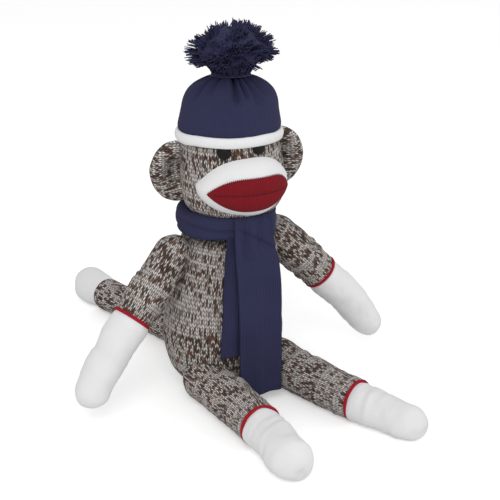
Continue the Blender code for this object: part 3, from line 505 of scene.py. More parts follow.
# %% Cut a limb's tube into sleeve and end
# A limb has a line, radii over shares of it, round ends, a place on the body, a side that hides
# the edge of its rolled sheet, and numbers for its creases. One that rests lies on the floor.
TUCK, TUCK_LONG = 0.0012, 0.0045    # how deep a seam pulls the cloth in, and over what length
PRESSED = 0.0005                    # how much a resting limb is pressed flat by the floor
RING_SUNK, RING_R = 0.0010, 0.0016  # how deep the seam's ring lies in the cloth, and its radius


def limb_piece(name, limb, start, end, rings):
    """Roll the part of a limb from start to end; a limb's own ends are round, a seam is tucked."""
    line, radii, root_round, tip_round = (limb[k] for k in ("line", "radii", "root", "tip"))
    total = line[1][-1]
    stations = []
    for i in range(rings + 1):
        s = start + (end - start) * (1 - math.cos(math.pi * i / rings)) / 2
        radius = radius_at(radii, total, s)
        for from_end, rounding in ((s, root_round), (total - s, tip_round)):
            if from_end < rounding:
                share = 1 - from_end / rounding
                radius *= math.sqrt(max(1 - share * share, 0.0))
        for at_seam, real in ((s - start, start > 0), (end - s, end < total)):
            if real:
                radius -= TUCK * (1 - smooth(at_seam / TUCK_LONG))
        centre = limb["place"] @ at_length(line, s)
        if limb["rests"]:
            centre.z = radius_at(radii, total, s) - PRESSED
        stations.append((centre, radius))
    if start > 0:
        stations.insert(0, (stations[0][0], 0.0))
    if end < total:
        stations.append((stations[-1][0], 0.0))
    return roll(name, stations, limb["hidden"], sides=56)


def seam_ring(name, limb, s):
    """A soft red ring of stitches at the seam between sleeve and end."""
    radius = radius_at(limb["radii"], limb["line"][1][-1], s)
    centre, ahead = (limb["place"] @ at_length(limb["line"], s + more) for more in (0, 0.002))
    if limb["rests"]:
        centre.z = ahead.z = radius - PRESSED
    ring = begin(name, bpy.ops.mesh.primitive_torus_add, major_segments=96, minor_segments=10,
                 major_radius=radius - RING_SUNK, minor_radius=RING_R)
    knit_map(ring, 2 * math.pi * radius, 2 * math.pi * RING_R)
    turn = (ahead - centre).to_track_quat("Z", "Y").to_matrix().to_4x4()
    ring.data.transform(Matrix.Translation(centre) @ turn)
    above_floor(ring)
    return ring


def sew_limb(side, names, limb, cut):
    """Make a limb's sleeve, its white end and the seam between them at cut, and dress them."""
    body, sleeve, end, joint = (side + "_" + name for name in names)
    total = limb["line"][1][-1]
    tube = limb_piece(sleeve + "_knit", limb, 0.0, cut, limb["rings"])
    wrinkle(tube, limb, total * limb["creased_from"], cut, limb["creases"], depth=0.0016,
            seed=limb["seed"])
    fold(tube, 0.022, 0.0026)
    wear(tube, RAGG, body, "ragg_knit", body + "_cover", body + "_filling")
    white = limb_piece(end + "_jersey", limb, cut, total, 44)
    wrinkle(white, limb, cut + 0.006, total - limb["smooth_tip"], 12, depth=0.0014,
            seed=limb["seed"] + 4)
    fold(white, 0.026, limb["dents"])
    wear(white, JERSEY, body, "white_knit", end)
    wear(seam_ring(joint + "_seam", limb, cut), RED_BAND, body, "red_knit", joint + "_band")


# %% [markdown]
# The arms hang from the shoulders, out to the sides, and bend a little at the elbow. The ends
# are white hands without fingers. The left hand is set on a little lower.

# %% Arms
SHOULDER_X, SHOULDER_Z, ARM_R, HAND = 0.0530, 0.1357, 0.0175, 0.0866
for (side, sign), lower in zip(SIDES, (0.0, 0.0035)):
    elbow = Vector((sign * 0.0460, -0.0090, -0.0485))
    arm = {
        "line": limb_line(-elbow.normalized() * ARM_R, elbow, (sign * 0.1000, -0.0240, -0.1132)),
        "radii": [(0.0, ARM_R), (0.12, ARM_R), (0.32, 0.0185), (0.52, 0.0172), (0.74, 0.0164),
                  (1.0, 0.0146)],
        "root": ARM_R, "tip": 0.0160, "rests": False,
        "place": Matrix.Translation((sign * SHOULDER_X, 0, SHOULDER_Z)),
        "hidden": (0, 1, 0), "rings": 44, "creased_from": 0.25, "creases": 16, "smooth_tip": 0.012,
        "dents": 0.0044, "seed": 3 - sign,
    }
    sew_limb(side, ("arm", "sleeve", "hand", "wrist"), arm, arm["line"][1][-1] - HAND - lower)

# %% [markdown]
# The legs lie on the floor in front of the doll. Their undersides are flat where they rest. The
# left leg turns outwards, and each foot bends outwards a little.

# %% Legs
HIP_X, HIP_Y, HIP_R, TO_ANKLE, FOOT = 0.0360, -0.0280, 0.0218, 0.0960, 0.0760
# Turn of the leg, swing of its tip, length of the foot, what the leg lacks in length, and the
# radii of instep and toes.
for (side, sign), (yaw, swing, foot, short, instep, toe) in zip(SIDES, (
        (1.6, -0.0100, FOOT - 0.0010, 0.0050, 0.0178, 0.0182),
        (14.3, 0.0100, FOOT - 0.0050, 0.0025, 0.0174, 0.0158))):
    leg = {
        "line": limb_line((0, HIP_R, 0), (0, -TO_ANKLE * 0.62, 0), (swing, -TO_ANKLE - FOOT + short, 0)),
        "radii": [(0.0, HIP_R), (0.12, HIP_R), (0.25, 0.0203), (0.57, 0.0188), (0.72, instep),
                  (0.88, toe), (1.0, toe * 0.95)],
        "root": HIP_R, "tip": 0.0190, "rests": True,
        "place": Matrix.Translation((sign * HIP_X, HIP_Y, 0))
        @ Matrix.Rotation(math.radians(yaw), 4, "Z"),
        "hidden": (0, 0, -1), "rings": 56, "creased_from": 0.2, "creases": 18, "smooth_tip": 0.014,
        "dents": 0.0046, "seed": 13 - sign,
    }
    sew_limb(side, ("leg", "leg", "foot", "ankle"), leg, leg["line"][1][-1] - foot)

# %% [markdown]
# The tail is a thinner tube with a white tip. It is sewn low on the back and lies behind the
# doll, to its right.

# %% Tail
TAIL_R, TAIL_LENGTH, TAIL_TIP = 0.0165, 0.2090, 0.0430
tail = {
    "line": limb_line((0, -TAIL_R, 0), (0, TAIL_LENGTH / 2, 0), (0, TAIL_LENGTH, 0)),
    "radii": [(0.0, TAIL_R), (0.78, TAIL_R), (0.92, 0.0188), (1.0, 0.0188)],
    "root": TAIL_R, "tip": 0.0188, "rests": True, "hidden": (0, 0, -1),
    "place": Matrix.Translation((0.0030, 0.0400, 0)) @ Matrix.Rotation(math.radians(13), 4, "Z"),
}
total = tail["line"][1][-1]
tail_tube = limb_piece("tail_knit", tail, 0.0, total - TAIL_TIP, 64)
fold(tail_tube, 0.022, 0.0022)
wear(tail_tube, RAGG, "tail", "ragg_knit", "tail_cover", "tail_filling")
tip = limb_piece("tail_tip_jersey", tail, total - TAIL_TIP, total, 32)
fold(tip, 0.022, 0.0030)
wear(tip, JERSEY, "tail", "white_knit", "tail_tip")

# %% [markdown]
# ## Head
# The head is the sock's heel, stuffed round. It is turned a little to the doll's right, so all
# of its pieces are made facing straight ahead, about the head's centre, and moved by one matrix.

# %% Head
HEAD_R, HEAD_TOP_R, HEAD_HIGH, HEAD_Z = 0.0455, 0.0408, 0.0725, 0.21025
HEAD_TURN, HEAD_TILT = math.radians(-12), math.radians(-3.5)
HEAD_FRAME = (Matrix.Translation((NECK_X, NECK_Y, HEAD_Z)) @ Matrix.Rotation(HEAD_TURN, 4, "Z")
              @ Matrix.Rotation(HEAD_TILT, 4, "Y"))


def on_head(piece, seat=Matrix()):
    """Move a piece to the head; seat is its own place there."""
    piece.data.transform(HEAD_FRAME @ seat)
    return piece


# The jaw is fuller than a ball in front, where it lies on the scarf.
HEAD = [(0.0, -0.0445), (0.0200, -0.0435), (0.0310, -0.0412), (0.0375, -0.0378),
        (0.0415, -0.0335), (0.0440, -0.0285), (0.0458, -0.0210), (0.0464, -0.0110), (HEAD_R, 0.0)]
HEAD += [((HEAD_R + HEAD_TOP_R) / 2, HEAD_HIGH * 0.21), (HEAD_TOP_R, HEAD_HIGH * 0.42)]
# Above the ears it narrows to a low crown, which the cap hides.
HEAD += [(HEAD_TOP_R * r * 0.97, HEAD_HIGH * z * 0.97) for r, z in
         ((0.920, 0.575), (0.810, 0.720), (0.660, 0.840), (0.500, 0.925), (0.285, 0.986))]
HEAD += [(0.0, HEAD_HIGH * 0.965)]
head = roll("head_knit", [(Vector((0, 0, z)), r) for r, z in dense(HEAD, 6)], (0, 1, 0), sides=96)
# Behind, the jaw stays inside a ball, so that it clears the scarf as the head nods and turns.
for vertex in head.data.vertices:
    beyond = vertex.co.length - HEAD_R
    if vertex.co.z < 0 and beyond > 0:
        vertex.co -= vertex.co.normalized() * beyond * smooth(vertex.co.y / 0.030)
fold(on_head(head), 0.030, 0.0012)
wear(head, RAGG, "head", "ragg_knit", "head_cover", "head_filling")

# %% [markdown]
# Between body and head the knit is drawn together by a thread. The scarf hides it, so it is a
# short gathered throat with a plain ring of thread.

# %% Neck
stations = [(Vector((NECK_X, NECK_Y, z)), r) for z, r in
            ((0.1550, 0.0), (0.1552, 0.0175), (0.1572, 0.0158), (0.1600, 0.0158), (0.1640, 0.0170),
             (0.1685, 0.0180), (0.1690, 0.0))]
neck = roll("neck_knit", stations, (0, 1, 0), sides=72,
            shape=lambda angle: 1 + 0.05 * math.cos(12 * angle))
wear(neck, RAGG, "neck", "ragg_knit", "neck_stuffing")
thread = begin("neck_thread_ring", bpy.ops.mesh.primitive_torus_add, major_segments=72,
               minor_segments=8, major_radius=0.0166, minor_radius=0.0008,
               location=(NECK_X, NECK_Y, 0.1586))
wear(thread, YARN, "neck", "navy_yarn", "neck_thread")

# %% [markdown]
# ## Muzzle and mouth
# The muzzle is half a ball of white jersey, stuffed and sewn on. The mouth is an almond of red
# rib laid over its front. A grid is drawn into that almond and dropped on the muzzle's surface,
# so that the patch bends with it, and a groove between two soft lips is the mouth line.

# %% Muzzle
MUZZLE = Vector((0.0402, 0.0290, 0.0292))
MUZZLE_Y, MUZZLE_Z = -0.0280, -0.0058


def muzzle_share(x, height):
    """How full the muzzle is at a place: flatter above towards its ends, fuller below."""
    out = max(-1.0, min(1.0, x / MUZZLE.x))
    if height > 0:
        return 0.96 - (0.62 if out < 0 else 0.33) * abs(out) ** 3
    return 1.06 + 0.18 * out


muzzle = begin("muzzle_jersey", bpy.ops.mesh.primitive_uv_sphere_add, segments=72, ring_count=40,
               radius=1.0)
muzzle.data.transform(Matrix.Translation((0, MUZZLE_Y, MUZZLE_Z))
                      @ Matrix.Diagonal((*MUZZLE, 1.0)))
knit_map(muzzle, 2 * math.pi * MUZZLE.x, math.pi * MUZZLE.z)
for vertex in muzzle.data.vertices:
    height = vertex.co.z - MUZZLE_Z
    vertex.co.z = MUZZLE_Z + height * muzzle_share(vertex.co.x, height)
fold(on_head(muzzle), 0.030, 0.0008)
wear(muzzle, JERSEY, "head", "white_knit", "muzzle_cover", "muzzle_filling")


def on_muzzle(x, z, above):
    """A point that lies on the muzzle's front, with a height above its cloth."""
    a, b, c = (half + above for half in MUZZLE)
    height = z - MUZZLE_Z
    height /= muzzle_share(x, height)
    left = 1.0 - (x / a) ** 2 - (height / c) ** 2
    return Vector((x, MUZZLE_Y - b * math.sqrt(max(left, 0.0)), z))


# %% Lips
LIP_WIDE, LIP_RISE, LIP_FALL, MOUTH_Z, LIP_X = 0.0368, 0.0140, 0.0170, -0.0093, 0.0010
LIP_THICK, LIP_PUFF = 0.0014, 0.0016
# How full the almond's edge is, above and below: it is blunt towards the doll's left.
RIGHT_BOW, LEFT_BOW = {1: 2.6, -1: 2.2}, {1: 7.0, -1: 2.8}


def mouth_z(x):
    """Height of the mouth line, which sinks a little towards the doll's left."""
    return MOUTH_Z - 0.06 * x


def lip_edge(share, side):
    """A point on the edge of the almond; side is +1 for the upper edge and -1 for the lower."""
    bow = (RIGHT_BOW if share < 0 else LEFT_BOW)[side]
    reach = (1 - abs(share) ** bow) ** 0.9 if abs(share) < 1 else 0.0
    x = LIP_X + share * LIP_WIDE
    return x, mouth_z(x) + side * reach * (LIP_RISE if side > 0 else LIP_FALL)


lips = begin("lips_rib", bpy.ops.mesh.primitive_grid_add, x_subdivisions=72, y_subdivisions=28, size=2.0)
knit_map(lips, 2 * LIP_WIDE, LIP_RISE + LIP_FALL)
for vertex in lips.data.vertices:
    a, b = vertex.co.x, vertex.co.y
    x, edge = lip_edge(a, 1 if b > 0 else -1)
    z = mouth_z(x) + (edge - mouth_z(x)) * abs(b)
    puff = LIP_PUFF * math.sin(math.pi * abs(b)) ** 0.7 * (1 - abs(a) ** 3)
    vertex.co = on_muzzle(x, z, LIP_THICK + puff)
sew(lips)
thicken(lips, LIP_THICK, -1.0)
wear(on_head(lips), RED, "head", "red_knit", "lips")

# %% [markdown]
# The mouth line is a row of short dark red stitches, and small slanted ones hold the patch's
# edge. One stitch is modelled as a rounded bar, and each copy is laid along its own way.


# %% Stitches
def join(name, parts):
    """Join several parts in one named piece."""
    deselect()
    for part in parts:
        part.select_set(True)
    bpy.context.view_layer.objects.active = parts[0]
    bpy.ops.object.join()
    parts[0].name = parts[0].data.name = name
    return parts[0]


def stitch_bar():
    """One stitch: a bar along X of unit length, with tapered ends."""
    bar = begin("stitch", bpy.ops.mesh.primitive_cylinder_add, vertices=6, radius=1.0, depth=1.0,
                rotation=(0, math.pi / 2, 0))
    bpy.ops.object.mode_set(mode="EDIT")
    for at in (0.3, -0.3):
        bpy.ops.mesh.select_all(action="SELECT")
        bpy.ops.mesh.bisect(plane_co=(at, 0, 0), plane_no=(1, 0, 0))
    bpy.ops.object.mode_set(mode="OBJECT")
    for vertex in bar.data.vertices:
        if abs(vertex.co.x) > 0.4:
            vertex.co.y *= 0.45
            vertex.co.z *= 0.45
    return bar


def stitches(name, ways, thick):
    """Copies of one stitch, each from a start to an end point, joined in one piece."""
    bar = stitch_bar()
    copies = []
    for start, end in ways:
        made = bpy.data.objects.new(name, bar.data.copy())
        bpy.context.scene.collection.objects.link(made)
        turn = (end - start).to_track_quat("X", "Z").to_matrix().to_4x4()
        made.data.transform(Matrix.Translation((start + end) / 2) @ turn
                            @ Matrix.Diagonal(((end - start).length, thick, thick, 1)))
        copies.append(made)
    bpy.data.objects.remove(bar)
    return on_head(join(name, copies))


LINE_STITCHES, EDGE_STITCHES = 19, 44
ways = []
for i in range(LINE_STITCHES):
    x = LIP_X + LIP_WIDE * 0.84 * (-1 + 2 * i / (LINE_STITCHES - 1))
    ways.append((on_muzzle(x - 0.0015, mouth_z(x) - 0.0002, 0.0016),
                 on_muzzle(x + 0.0015, mouth_z(x) + 0.0002, 0.0016)))
wear(stitches("mouth_line_stitches", ways, 0.0004), THREAD, "head", "red_knit", "mouth_stitch")
ways = []
for side in (1, -1):
    for i in range(EDGE_STITCHES):
        x, z = lip_edge(-0.985 + 1.97 * (i + 0.5) / EDGE_STITCHES, side)
        ways.append((on_muzzle(x - 0.0004, z - side * 0.0010, 0.0017),
                     on_muzzle(x + 0.0004, z + side * 0.0004, 0.0003)))
wear(stitches("lip_edge_stitches", ways, 0.00028), THREAD, "head", "red_knit")

# %% [markdown]
# ## Eyes
# Each eye is a small pad of black floss, worked over and over from side to side. Its face is a
# low dome with a ridge for each turn of the floss.

# %% Eyes
EYE_SPREAD, EYE_HIGH, EYE_WIDE, EYE_TALL, EYE_DEEP = 0.0165, 0.0246, 0.0062, 0.0056, 0.0026
EYE_OUT, FLOSS_TURN = 0.0421, 0.0009
for side, sign in SIDES:
    eye = begin(side + "_eye_floss", bpy.ops.mesh.primitive_uv_sphere_add, segments=40,
                ring_count=24, radius=1.0, rotation=(math.pi / 2, 0, 0))
    for vertex in eye.data.vertices:
        ridge = 1 + 0.05 * math.sin(vertex.co.z * EYE_TALL / FLOSS_TURN * 2 * math.pi)
        vertex.co = (vertex.co.x * EYE_WIDE, vertex.co.y * EYE_DEEP * ridge, vertex.co.z * EYE_TALL)
    # Both eyes are a little to the doll's right of the middle.
    out = math.asin((sign * EYE_SPREAD - 0.0015) / HEAD_R)
    seat = Vector((math.sin(out), -math.cos(out), 0)) * EYE_OUT + Vector((0, 0, EYE_HIGH))
    eye.data.transform(Matrix.Translation(seat) @ Matrix.Rotation(out, 4, "Z"))
    wear(on_head(eye), FLOSS, "head", "black_felt", side + "_eye")

# %% [markdown]
# ## Ears
# An ear is two ovals of knit sewn face to face, lightly stuffed, with its front pulled in so
# that a thick rim stands round a hollow. It starts as a ball; its front is then pressed back
# by a curve that leaves the rim alone.

# %% Ears
EAR_WIDE, EAR_THICK, EAR_TALL = 0.0250, 0.0100, 0.0275
EAR_OUT, EAR_BACK, EAR_LOW, HOLLOW = 0.0455, 0.0120, 0.0018, 0.0145
for side, sign in SIDES:
    ear = begin(side + "_ear_knit", bpy.ops.mesh.primitive_uv_sphere_add, segments=72,
                ring_count=48, radius=1.0, rotation=(math.pi / 2, 0, 0))
    layer = ear.data.uv_layers.active
    layer.name = "knit"
    for loop in ear.data.loops:
        co = ear.data.vertices[loop.vertex_index].co
        layer.data[loop.index].uv = (co.z * EAR_TALL, co.x * sign * EAR_WIDE + co.y * 0.004)
    for vertex in ear.data.vertices:
        x, y, z = vertex.co
        from_middle = math.hypot(x, z)
        full = math.sqrt(max(1 - from_middle ** 4, 0.0)) * (1 if y > 0 else -1)
        hollow = HOLLOW * smooth(1 - from_middle / 0.86) if y < 0 else 0.0
        vertex.co = (x * EAR_WIDE, full * EAR_THICK + hollow, z * EAR_TALL)
    ear.data.transform(Matrix.Translation((sign * EAR_OUT, EAR_BACK, -EAR_LOW)))
    fold(on_head(ear), 0.016, 0.0016)
    sew(ear)
    wear(ear, RAGG, "head", "ragg_knit", side + "_ear")

# %% [markdown]
# ## Cap
# The cap is a tube of navy rib. Its top is gathered under the pompom, where the cloth falls
# into pleats, and its edge is turned up in a white cuff.

# %% Cap
CAP_R, CUFF_LOW, CUFF_TALL, CUFF_THICK = 0.0437, 0.0256, 0.0095, 0.0027
CAP = [(0.0, 0.0300), (0.60, 0.0300), (0.955, 0.0302), (0.985, 0.0325), (1.012, 0.0365),
       (1.012, 0.0400), (0.985, 0.0460), (0.955, 0.0530), (0.925, 0.0600), (0.855, 0.0672),
       (0.740, 0.0728), (0.600, 0.0768), (0.460, 0.0796), (0.340, 0.0805), (0.0, 0.0805)]
# The cap sits with its front edge and its right side up, and its top leans to the left.
SLANT, TILT, LEAN = 0.065, 0.075, 0.10
CAP_SEAT = Matrix(((1, 0, LEAN, -LEAN * (CUFF_LOW + CUFF_TALL / 2)), (0, 1, 0, 0),
                   (-TILT, -SLANT, 1, -0.0004), (0, 0, 0, 1)))
# Each pleat: its place round the cap, its width in radians, its depth, and where it starts.
PLEAT_COUNT = 13
random = np.random.default_rng(5)
PLEATS = [(2 * math.pi * (k + random.uniform(-0.3, 0.3)) / PLEAT_COUNT, random.uniform(0.07, 0.13),
           random.uniform(0.0018, 0.0062), random.uniform(0.058, 0.070)) for k in range(PLEAT_COUNT)]
# Three deep ones show in front.
PLEATS += [(math.radians(262), 0.09, 0.0070, 0.056), (math.radians(277), 0.06, 0.0045, 0.058),
           (math.radians(293), 0.10, 0.0062, 0.053)]


def gather(piece):
    """Press pleats into the cap that deepen towards the pompom and are gone on the sides."""
    for vertex in piece.data.vertices:
        x, y, z = vertex.co
        from_middle = math.hypot(x, y)
        angle, near = math.atan2(y, x), smooth(from_middle / 0.012)
        inward = Vector((-x, -y, 0.045 - z)).normalized()
        for at, width, depth, low in PLEATS:
            away = (angle - at + math.pi) % (2 * math.pi) - math.pi
            narrow = width * (0.5 + from_middle / CAP_R)
            sunk = math.exp(-(away / narrow) ** 2) * smooth((z - low) / 0.016)
            vertex.co += inward * depth * sunk * near


cap = roll("cap_rib", [(Vector((0, 0, z)), CAP_R * r) for r, z in dense(CAP, 7)], (0, 1, 0),
           sides=240, column=RIB)
gather(cap)
fold(cap, 0.028, 0.0014)
wear(on_head(cap, CAP_SEAT), NAVY, "head", "navy_knit", "hat_crown")

# %% Cuff
cuff = begin("cuff_jersey", bpy.ops.mesh.primitive_torus_add, major_segments=128,
             minor_segments=24, major_radius=1.0, minor_radius=0.25)
knit_map(cuff, 2 * math.pi * CAP_R, 0.024)
for vertex in cuff.data.vertices:
    angle = math.atan2(vertex.co.y, vertex.co.x)
    out = (math.hypot(vertex.co.x, vertex.co.y) - 1.0) / 0.25
    radius = CAP_R + 0.0006 + out * CUFF_THICK
    height = CUFF_LOW + CUFF_TALL * (0.5 + 0.48 * vertex.co.z / 0.25)
    height += 0.0003 * math.sin(5 * angle + 1)
    vertex.co = (radius * math.cos(angle), radius * math.sin(angle), height)
fold(on_head(cuff, CAP_SEAT), 0.012, 0.0007)
wear(cuff, JERSEY, "head", "white_knit", "hat_cuff")

# %% [markdown]
# ## Pompom
# A pompom is a bundle of yarn tied round its middle and cut, so that hundreds of strands stand
# out of one knot. One strand is a thin four-sided stem. Its copies start at the knot, bend
# outwards and end in tufts on a dome, a little uneven, as scissors leave them.

# %% Pompom strands
POMPOM_Z, POMPOM_R, STRANDS, TUFTS = 0.0803, 0.0400, 1680, 210
RISE, FALL, POMPOM_MIDDLE = 0.0290, 0.0215, POMPOM_Z + 0.0215
RINGS, STEM_SIDES, STEM_R = 6, 4, 0.00060
random = np.random.default_rng(11)
points, faces = [], []
# The strands stand in tufts: evenly over the dome, down to well below its widest line.
tufts = [(random.uniform(0, 2 * math.pi), random.uniform(-0.72, 1.0), random.uniform(0.86, 1.05))
         for _ in range(TUFTS)]
for strand in range(STRANDS):
    turn, up, length = tufts[strand % TUFTS]
    turn += random.normal(0, 0.06)
    up = max(-0.7, min(1.0, up + random.normal(0, 0.05)))
    flat = math.sqrt(1 - up * up)
    length *= random.uniform(0.93, 1.02)
    # The upper strands are cut a little shorter.
    end = Vector((flat * math.cos(turn) * POMPOM_R, flat * math.sin(turn) * POMPOM_R,
                  up * (RISE if up > 0 else FALL))) * length * (1 - 0.10 * smooth((up - 0.1) / 0.5))
    end += Vector((0, 0, POMPOM_MIDDLE))
    root = random.uniform(0.0, 0.0160)
    start = Vector((root * math.cos(turn), root * math.sin(turn), POMPOM_Z + 0.001))
    bend = start.lerp(end, 0.45) + Vector((0, 0, 0.008 + 0.004 * flat))
    bend += Vector(random.uniform(-0.002, 0.002, 3))
    first = len(points)
    for j in range(RINGS):
        t = j / (RINGS - 1)
        at = start * (1 - t) ** 2 + bend * 2 * t * (1 - t) + end * t * t
        way = ((bend - start) * (1 - t) + (end - bend) * t).normalized()
        side = way.orthogonal().normalized()
        far = way.cross(side)
        thick = STEM_R * (0.75 if j == RINGS - 1 else 1.0)
        for i in range(STEM_SIDES):
            a = 2 * math.pi * i / STEM_SIDES
            points.append(at + (side * math.cos(a) + far * math.sin(a)) * thick)
    for low in range(first, first + (RINGS - 1) * STEM_SIDES, STEM_SIDES):
        for i in range(STEM_SIDES):
            k = (i + 1) % STEM_SIDES
            faces.append((low + i, low + k, low + STEM_SIDES + k, low + STEM_SIDES + i))
    faces.append(tuple(first + i for i in reversed(range(STEM_SIDES))))
    faces.append(tuple(first + (RINGS - 1) * STEM_SIDES + i for i in range(STEM_SIDES)))
mesh = bpy.data.meshes.new("pompom_strands")
mesh.from_pydata(points, [], faces)
strands = bpy.data.objects.new("pompom_strands", mesh)
bpy.context.scene.collection.objects.link(strands)
wear(on_head(strands, CAP_SEAT), YARN, "head", "navy_yarn", "pompom")

# %% [markdown]
# Real strands fill the pompom to its middle. A dark lumpy core inside stands for the ones that
# are never seen whole, and three turns of yarn tie its neck.

# %% Pompom core and tie
core = begin("pompom_core", bpy.ops.mesh.primitive_uv_sphere_add, segments=64, ring_count=40,
             radius=1.0)
core.data.transform(Matrix.Translation((0, 0, POMPOM_Z + 0.020))
                    @ Matrix.Diagonal((POMPOM_R * 0.72, POMPOM_R * 0.72, 0.0200, 1)))
for vertex in core.data.vertices:
    low = POMPOM_Z + 0.018 - vertex.co.z
    if low > 0:
        narrow = 1 - 0.45 * smooth(low / 0.018)
        vertex.co.x *= narrow
        vertex.co.y *= narrow
fold(on_head(core, CAP_SEAT), 0.006, 0.0040)
wear(core, YARN, "head", "navy_yarn")
turns = []
for k in range(3):
    turn = begin("turn", bpy.ops.mesh.primitive_torus_add, major_segments=64, minor_segments=8,
                 major_radius=0.0166 - 0.0004 * k, minor_radius=0.0009)
    turn.data.transform(Matrix.Translation((0, 0, POMPOM_Z - 0.0002 + 0.0012 * k))
                        @ Matrix.Rotation(0.06 * (k - 1), 4, "X"))
    turns.append(turn)
tie = on_head(join("pompom_tie_yarn", turns), CAP_SEAT)
wear(tie, YARN, "head", "navy_yarn", "pompom_tie")

# %% [markdown]
# ## Scarf
# The scarf is one long strip of navy rib, wound once round the neck. Across its width it rolls
# over at the top and bottom, and slack gathers in creases that run round it at a slant.

# %% Scarf round the neck
WRAP_DEPTH = 0.93       # the roll is a little flatter from front to back
CLOTH = 0.0020          # thickness of the scarf's rib
AROUND = 180            # steps round the neck
# Radius, height and how much of the head's own place a point of the section follows.
SECTION = [(0.0290, 0.1590, 0.0), (0.0340, 0.1552, 0.0), (0.0400, 0.1534, 0.0),
           (0.0440, 0.1534, 0.0), (0.0458, 0.1552, 0.0), (0.0463, 0.1595, 0.0),
           (0.0465, 0.1650, 0.0), (0.0464, 0.1700, 0.0), (0.0456, 0.1738, 0.0),
           (0.0430, 0.1755, 0.2), (0.0385, 0.1748, 0.6), (0.0335, 0.1718, 1.0),
           (0.0300, 0.1680, 1.0)]
# Each crease: its place across the cloth, its slant, its start round the neck, depth and width.
CREASES = [(0.20, 0.30, 0.4, 0.0019, 0.10), (-0.35, 0.26, 1.7, 0.0016, 0.09),
           (-0.08, 0.36, 3.0, 0.0013, 0.08)]
# The roll is not the same all round: its lower edge rides up on the chest and sinks over the
# left shoulder, and its upper edge leaves room where an ear and the muzzle pass. Each place is
# in degrees round the neck, with how far it spreads and how far the edge moves there.
LOWER_EDGE = [(245, 40, 0.0036), (322, 26, -0.0050), (150, 40, 0.0030)]
UPPER_EDGE = [(172, 34, -0.0022), (230, 20, -0.0012), (322, 30, -0.0018)]


def near_turn(turn, at, spread):
    """1 at one place round the neck, easing to 0 away from it; at and spread are degrees."""
    away = (math.degrees(turn) - at + 180) % 360 - 180
    return math.exp(-(away / spread) ** 2)


profile = dense([(r, z) for r, z, _ in SECTION], 6)
across = len(profile) - 1
follow = np.interp(np.linspace(0, 1, across + 1), np.linspace(0, 1, len(SECTION)),
                   [share for _, _, share in SECTION])
wrap_length = 2 * math.pi * 0.0455
wrap_width = sum(math.dist(a, b) for a, b in zip(profile, profile[1:]))
wrap = begin("scarf_wrap_rib", bpy.ops.mesh.primitive_grid_add, x_subdivisions=across,
             y_subdivisions=AROUND, size=1.0)
knit_map(wrap, wrap_width, wrap_length)
for vertex in wrap.data.vertices:
    i, turn = round((vertex.co.x + 0.5) * across), 2 * math.pi * vertex.co.y
    radius, height = profile[i]
    share, outer = 2 * i / across - 1, smooth(1.6 - 2.6 * abs(2 * i / across - 0.85))
    for at, slant, phase, depth, width in CREASES:
        near = (share - at - slant * math.sin(turn + phase)) / width
        radius -= outer * depth * math.exp(-near * near) * (0.6 + 0.4 * math.sin(2 * turn + phase))
    height += 0.0006 * math.sin(2 * turn + 0.6)
    low, high = smooth((0.170 - height) / 0.014), smooth((height - 0.166) / 0.008)
    height += low * sum(rise * near_turn(turn, at, spread) for at, spread, rise in LOWER_EDGE)
    height += high * sum(rise * near_turn(turn, at, spread) for at, spread, rise in UPPER_EDGE)
    radius *= 1 - 0.09 * near_turn(turn, 335, 32)
    deep = WRAP_DEPTH + (1 - WRAP_DEPTH) * follow[i]
    vertex.co = (NECK_X * follow[i] + radius * math.cos(turn),
                 NECK_Y + radius * math.sin(turn) * deep, height)
sew(wrap)
thicken(wrap, CLOTH, 0.0)
wear(wrap, NAVY, "torso", "navy_knit", "scarf_wrap")

# %% [markdown]
# Its front end comes up from under the wrap, falls over it and hangs to the floor between the
# legs. The other end hangs behind it, shorter. Each is a sheet that follows a line of points
# down the front, with long folds across it. The front end is left in place, on no body.


# %% Hanging ends
def hanging(name, line, half_widths, middles, folds, fold_deep, top_folds=0.0, lap=0.0):
    """A strip down a line of (y, z) points, with long folds; top_folds are extra pleats.

    lap raises the cloth above a slanting line near the top, where a turn of the scarf lies."""
    down, wide = 110, 44
    points = [Vector((0, y, z)) for z, y in dense([(z, y) for y, z in line], 12)]
    run = [0.0]
    for p, q in zip(points, points[1:]):
        run.append(run[-1] + (q - p).length)
    strip = begin(name, bpy.ops.mesh.primitive_grid_add, x_subdivisions=wide, y_subdivisions=down, size=1.0)
    width = 2 * max(half_widths) * 1.04     # the folds take up 4 % of it
    knit_map(strip, width, run[-1])
    marks = np.linspace(0, 1, len(half_widths))
    for vertex in strip.data.vertices:
        u, v = vertex.co.x * 2, 0.5 - vertex.co.y
        at = at_length((points, run), v * run[-1])
        x = float(np.interp(v, marks, middles)) + u * float(np.interp(v, marks, half_widths))
        wave = fold_deep * math.cos(folds * math.pi * u) * smooth(v / 0.25)
        wave += top_folds * math.cos(3 * math.pi * u + 0.8) * (1 - smooth((v - 0.10) / 0.28))
        over = at.z - 0.1575 + 0.65 * x
        wave += lap * (smooth(over / 0.0035) - 0.7 * math.exp(-(over / 0.0030) ** 2))
        vertex.co = (x, at.y - wave, at.z)
    sew(strip)
    fold(strip, 0.030, 0.0012)
    thicken(strip, CLOTH, 0.0)
    print("cut", name, "of", round(width * 1000), "by", round(run[-1] * 1000), "mm cloth")
    return strip, (width, run[-1])


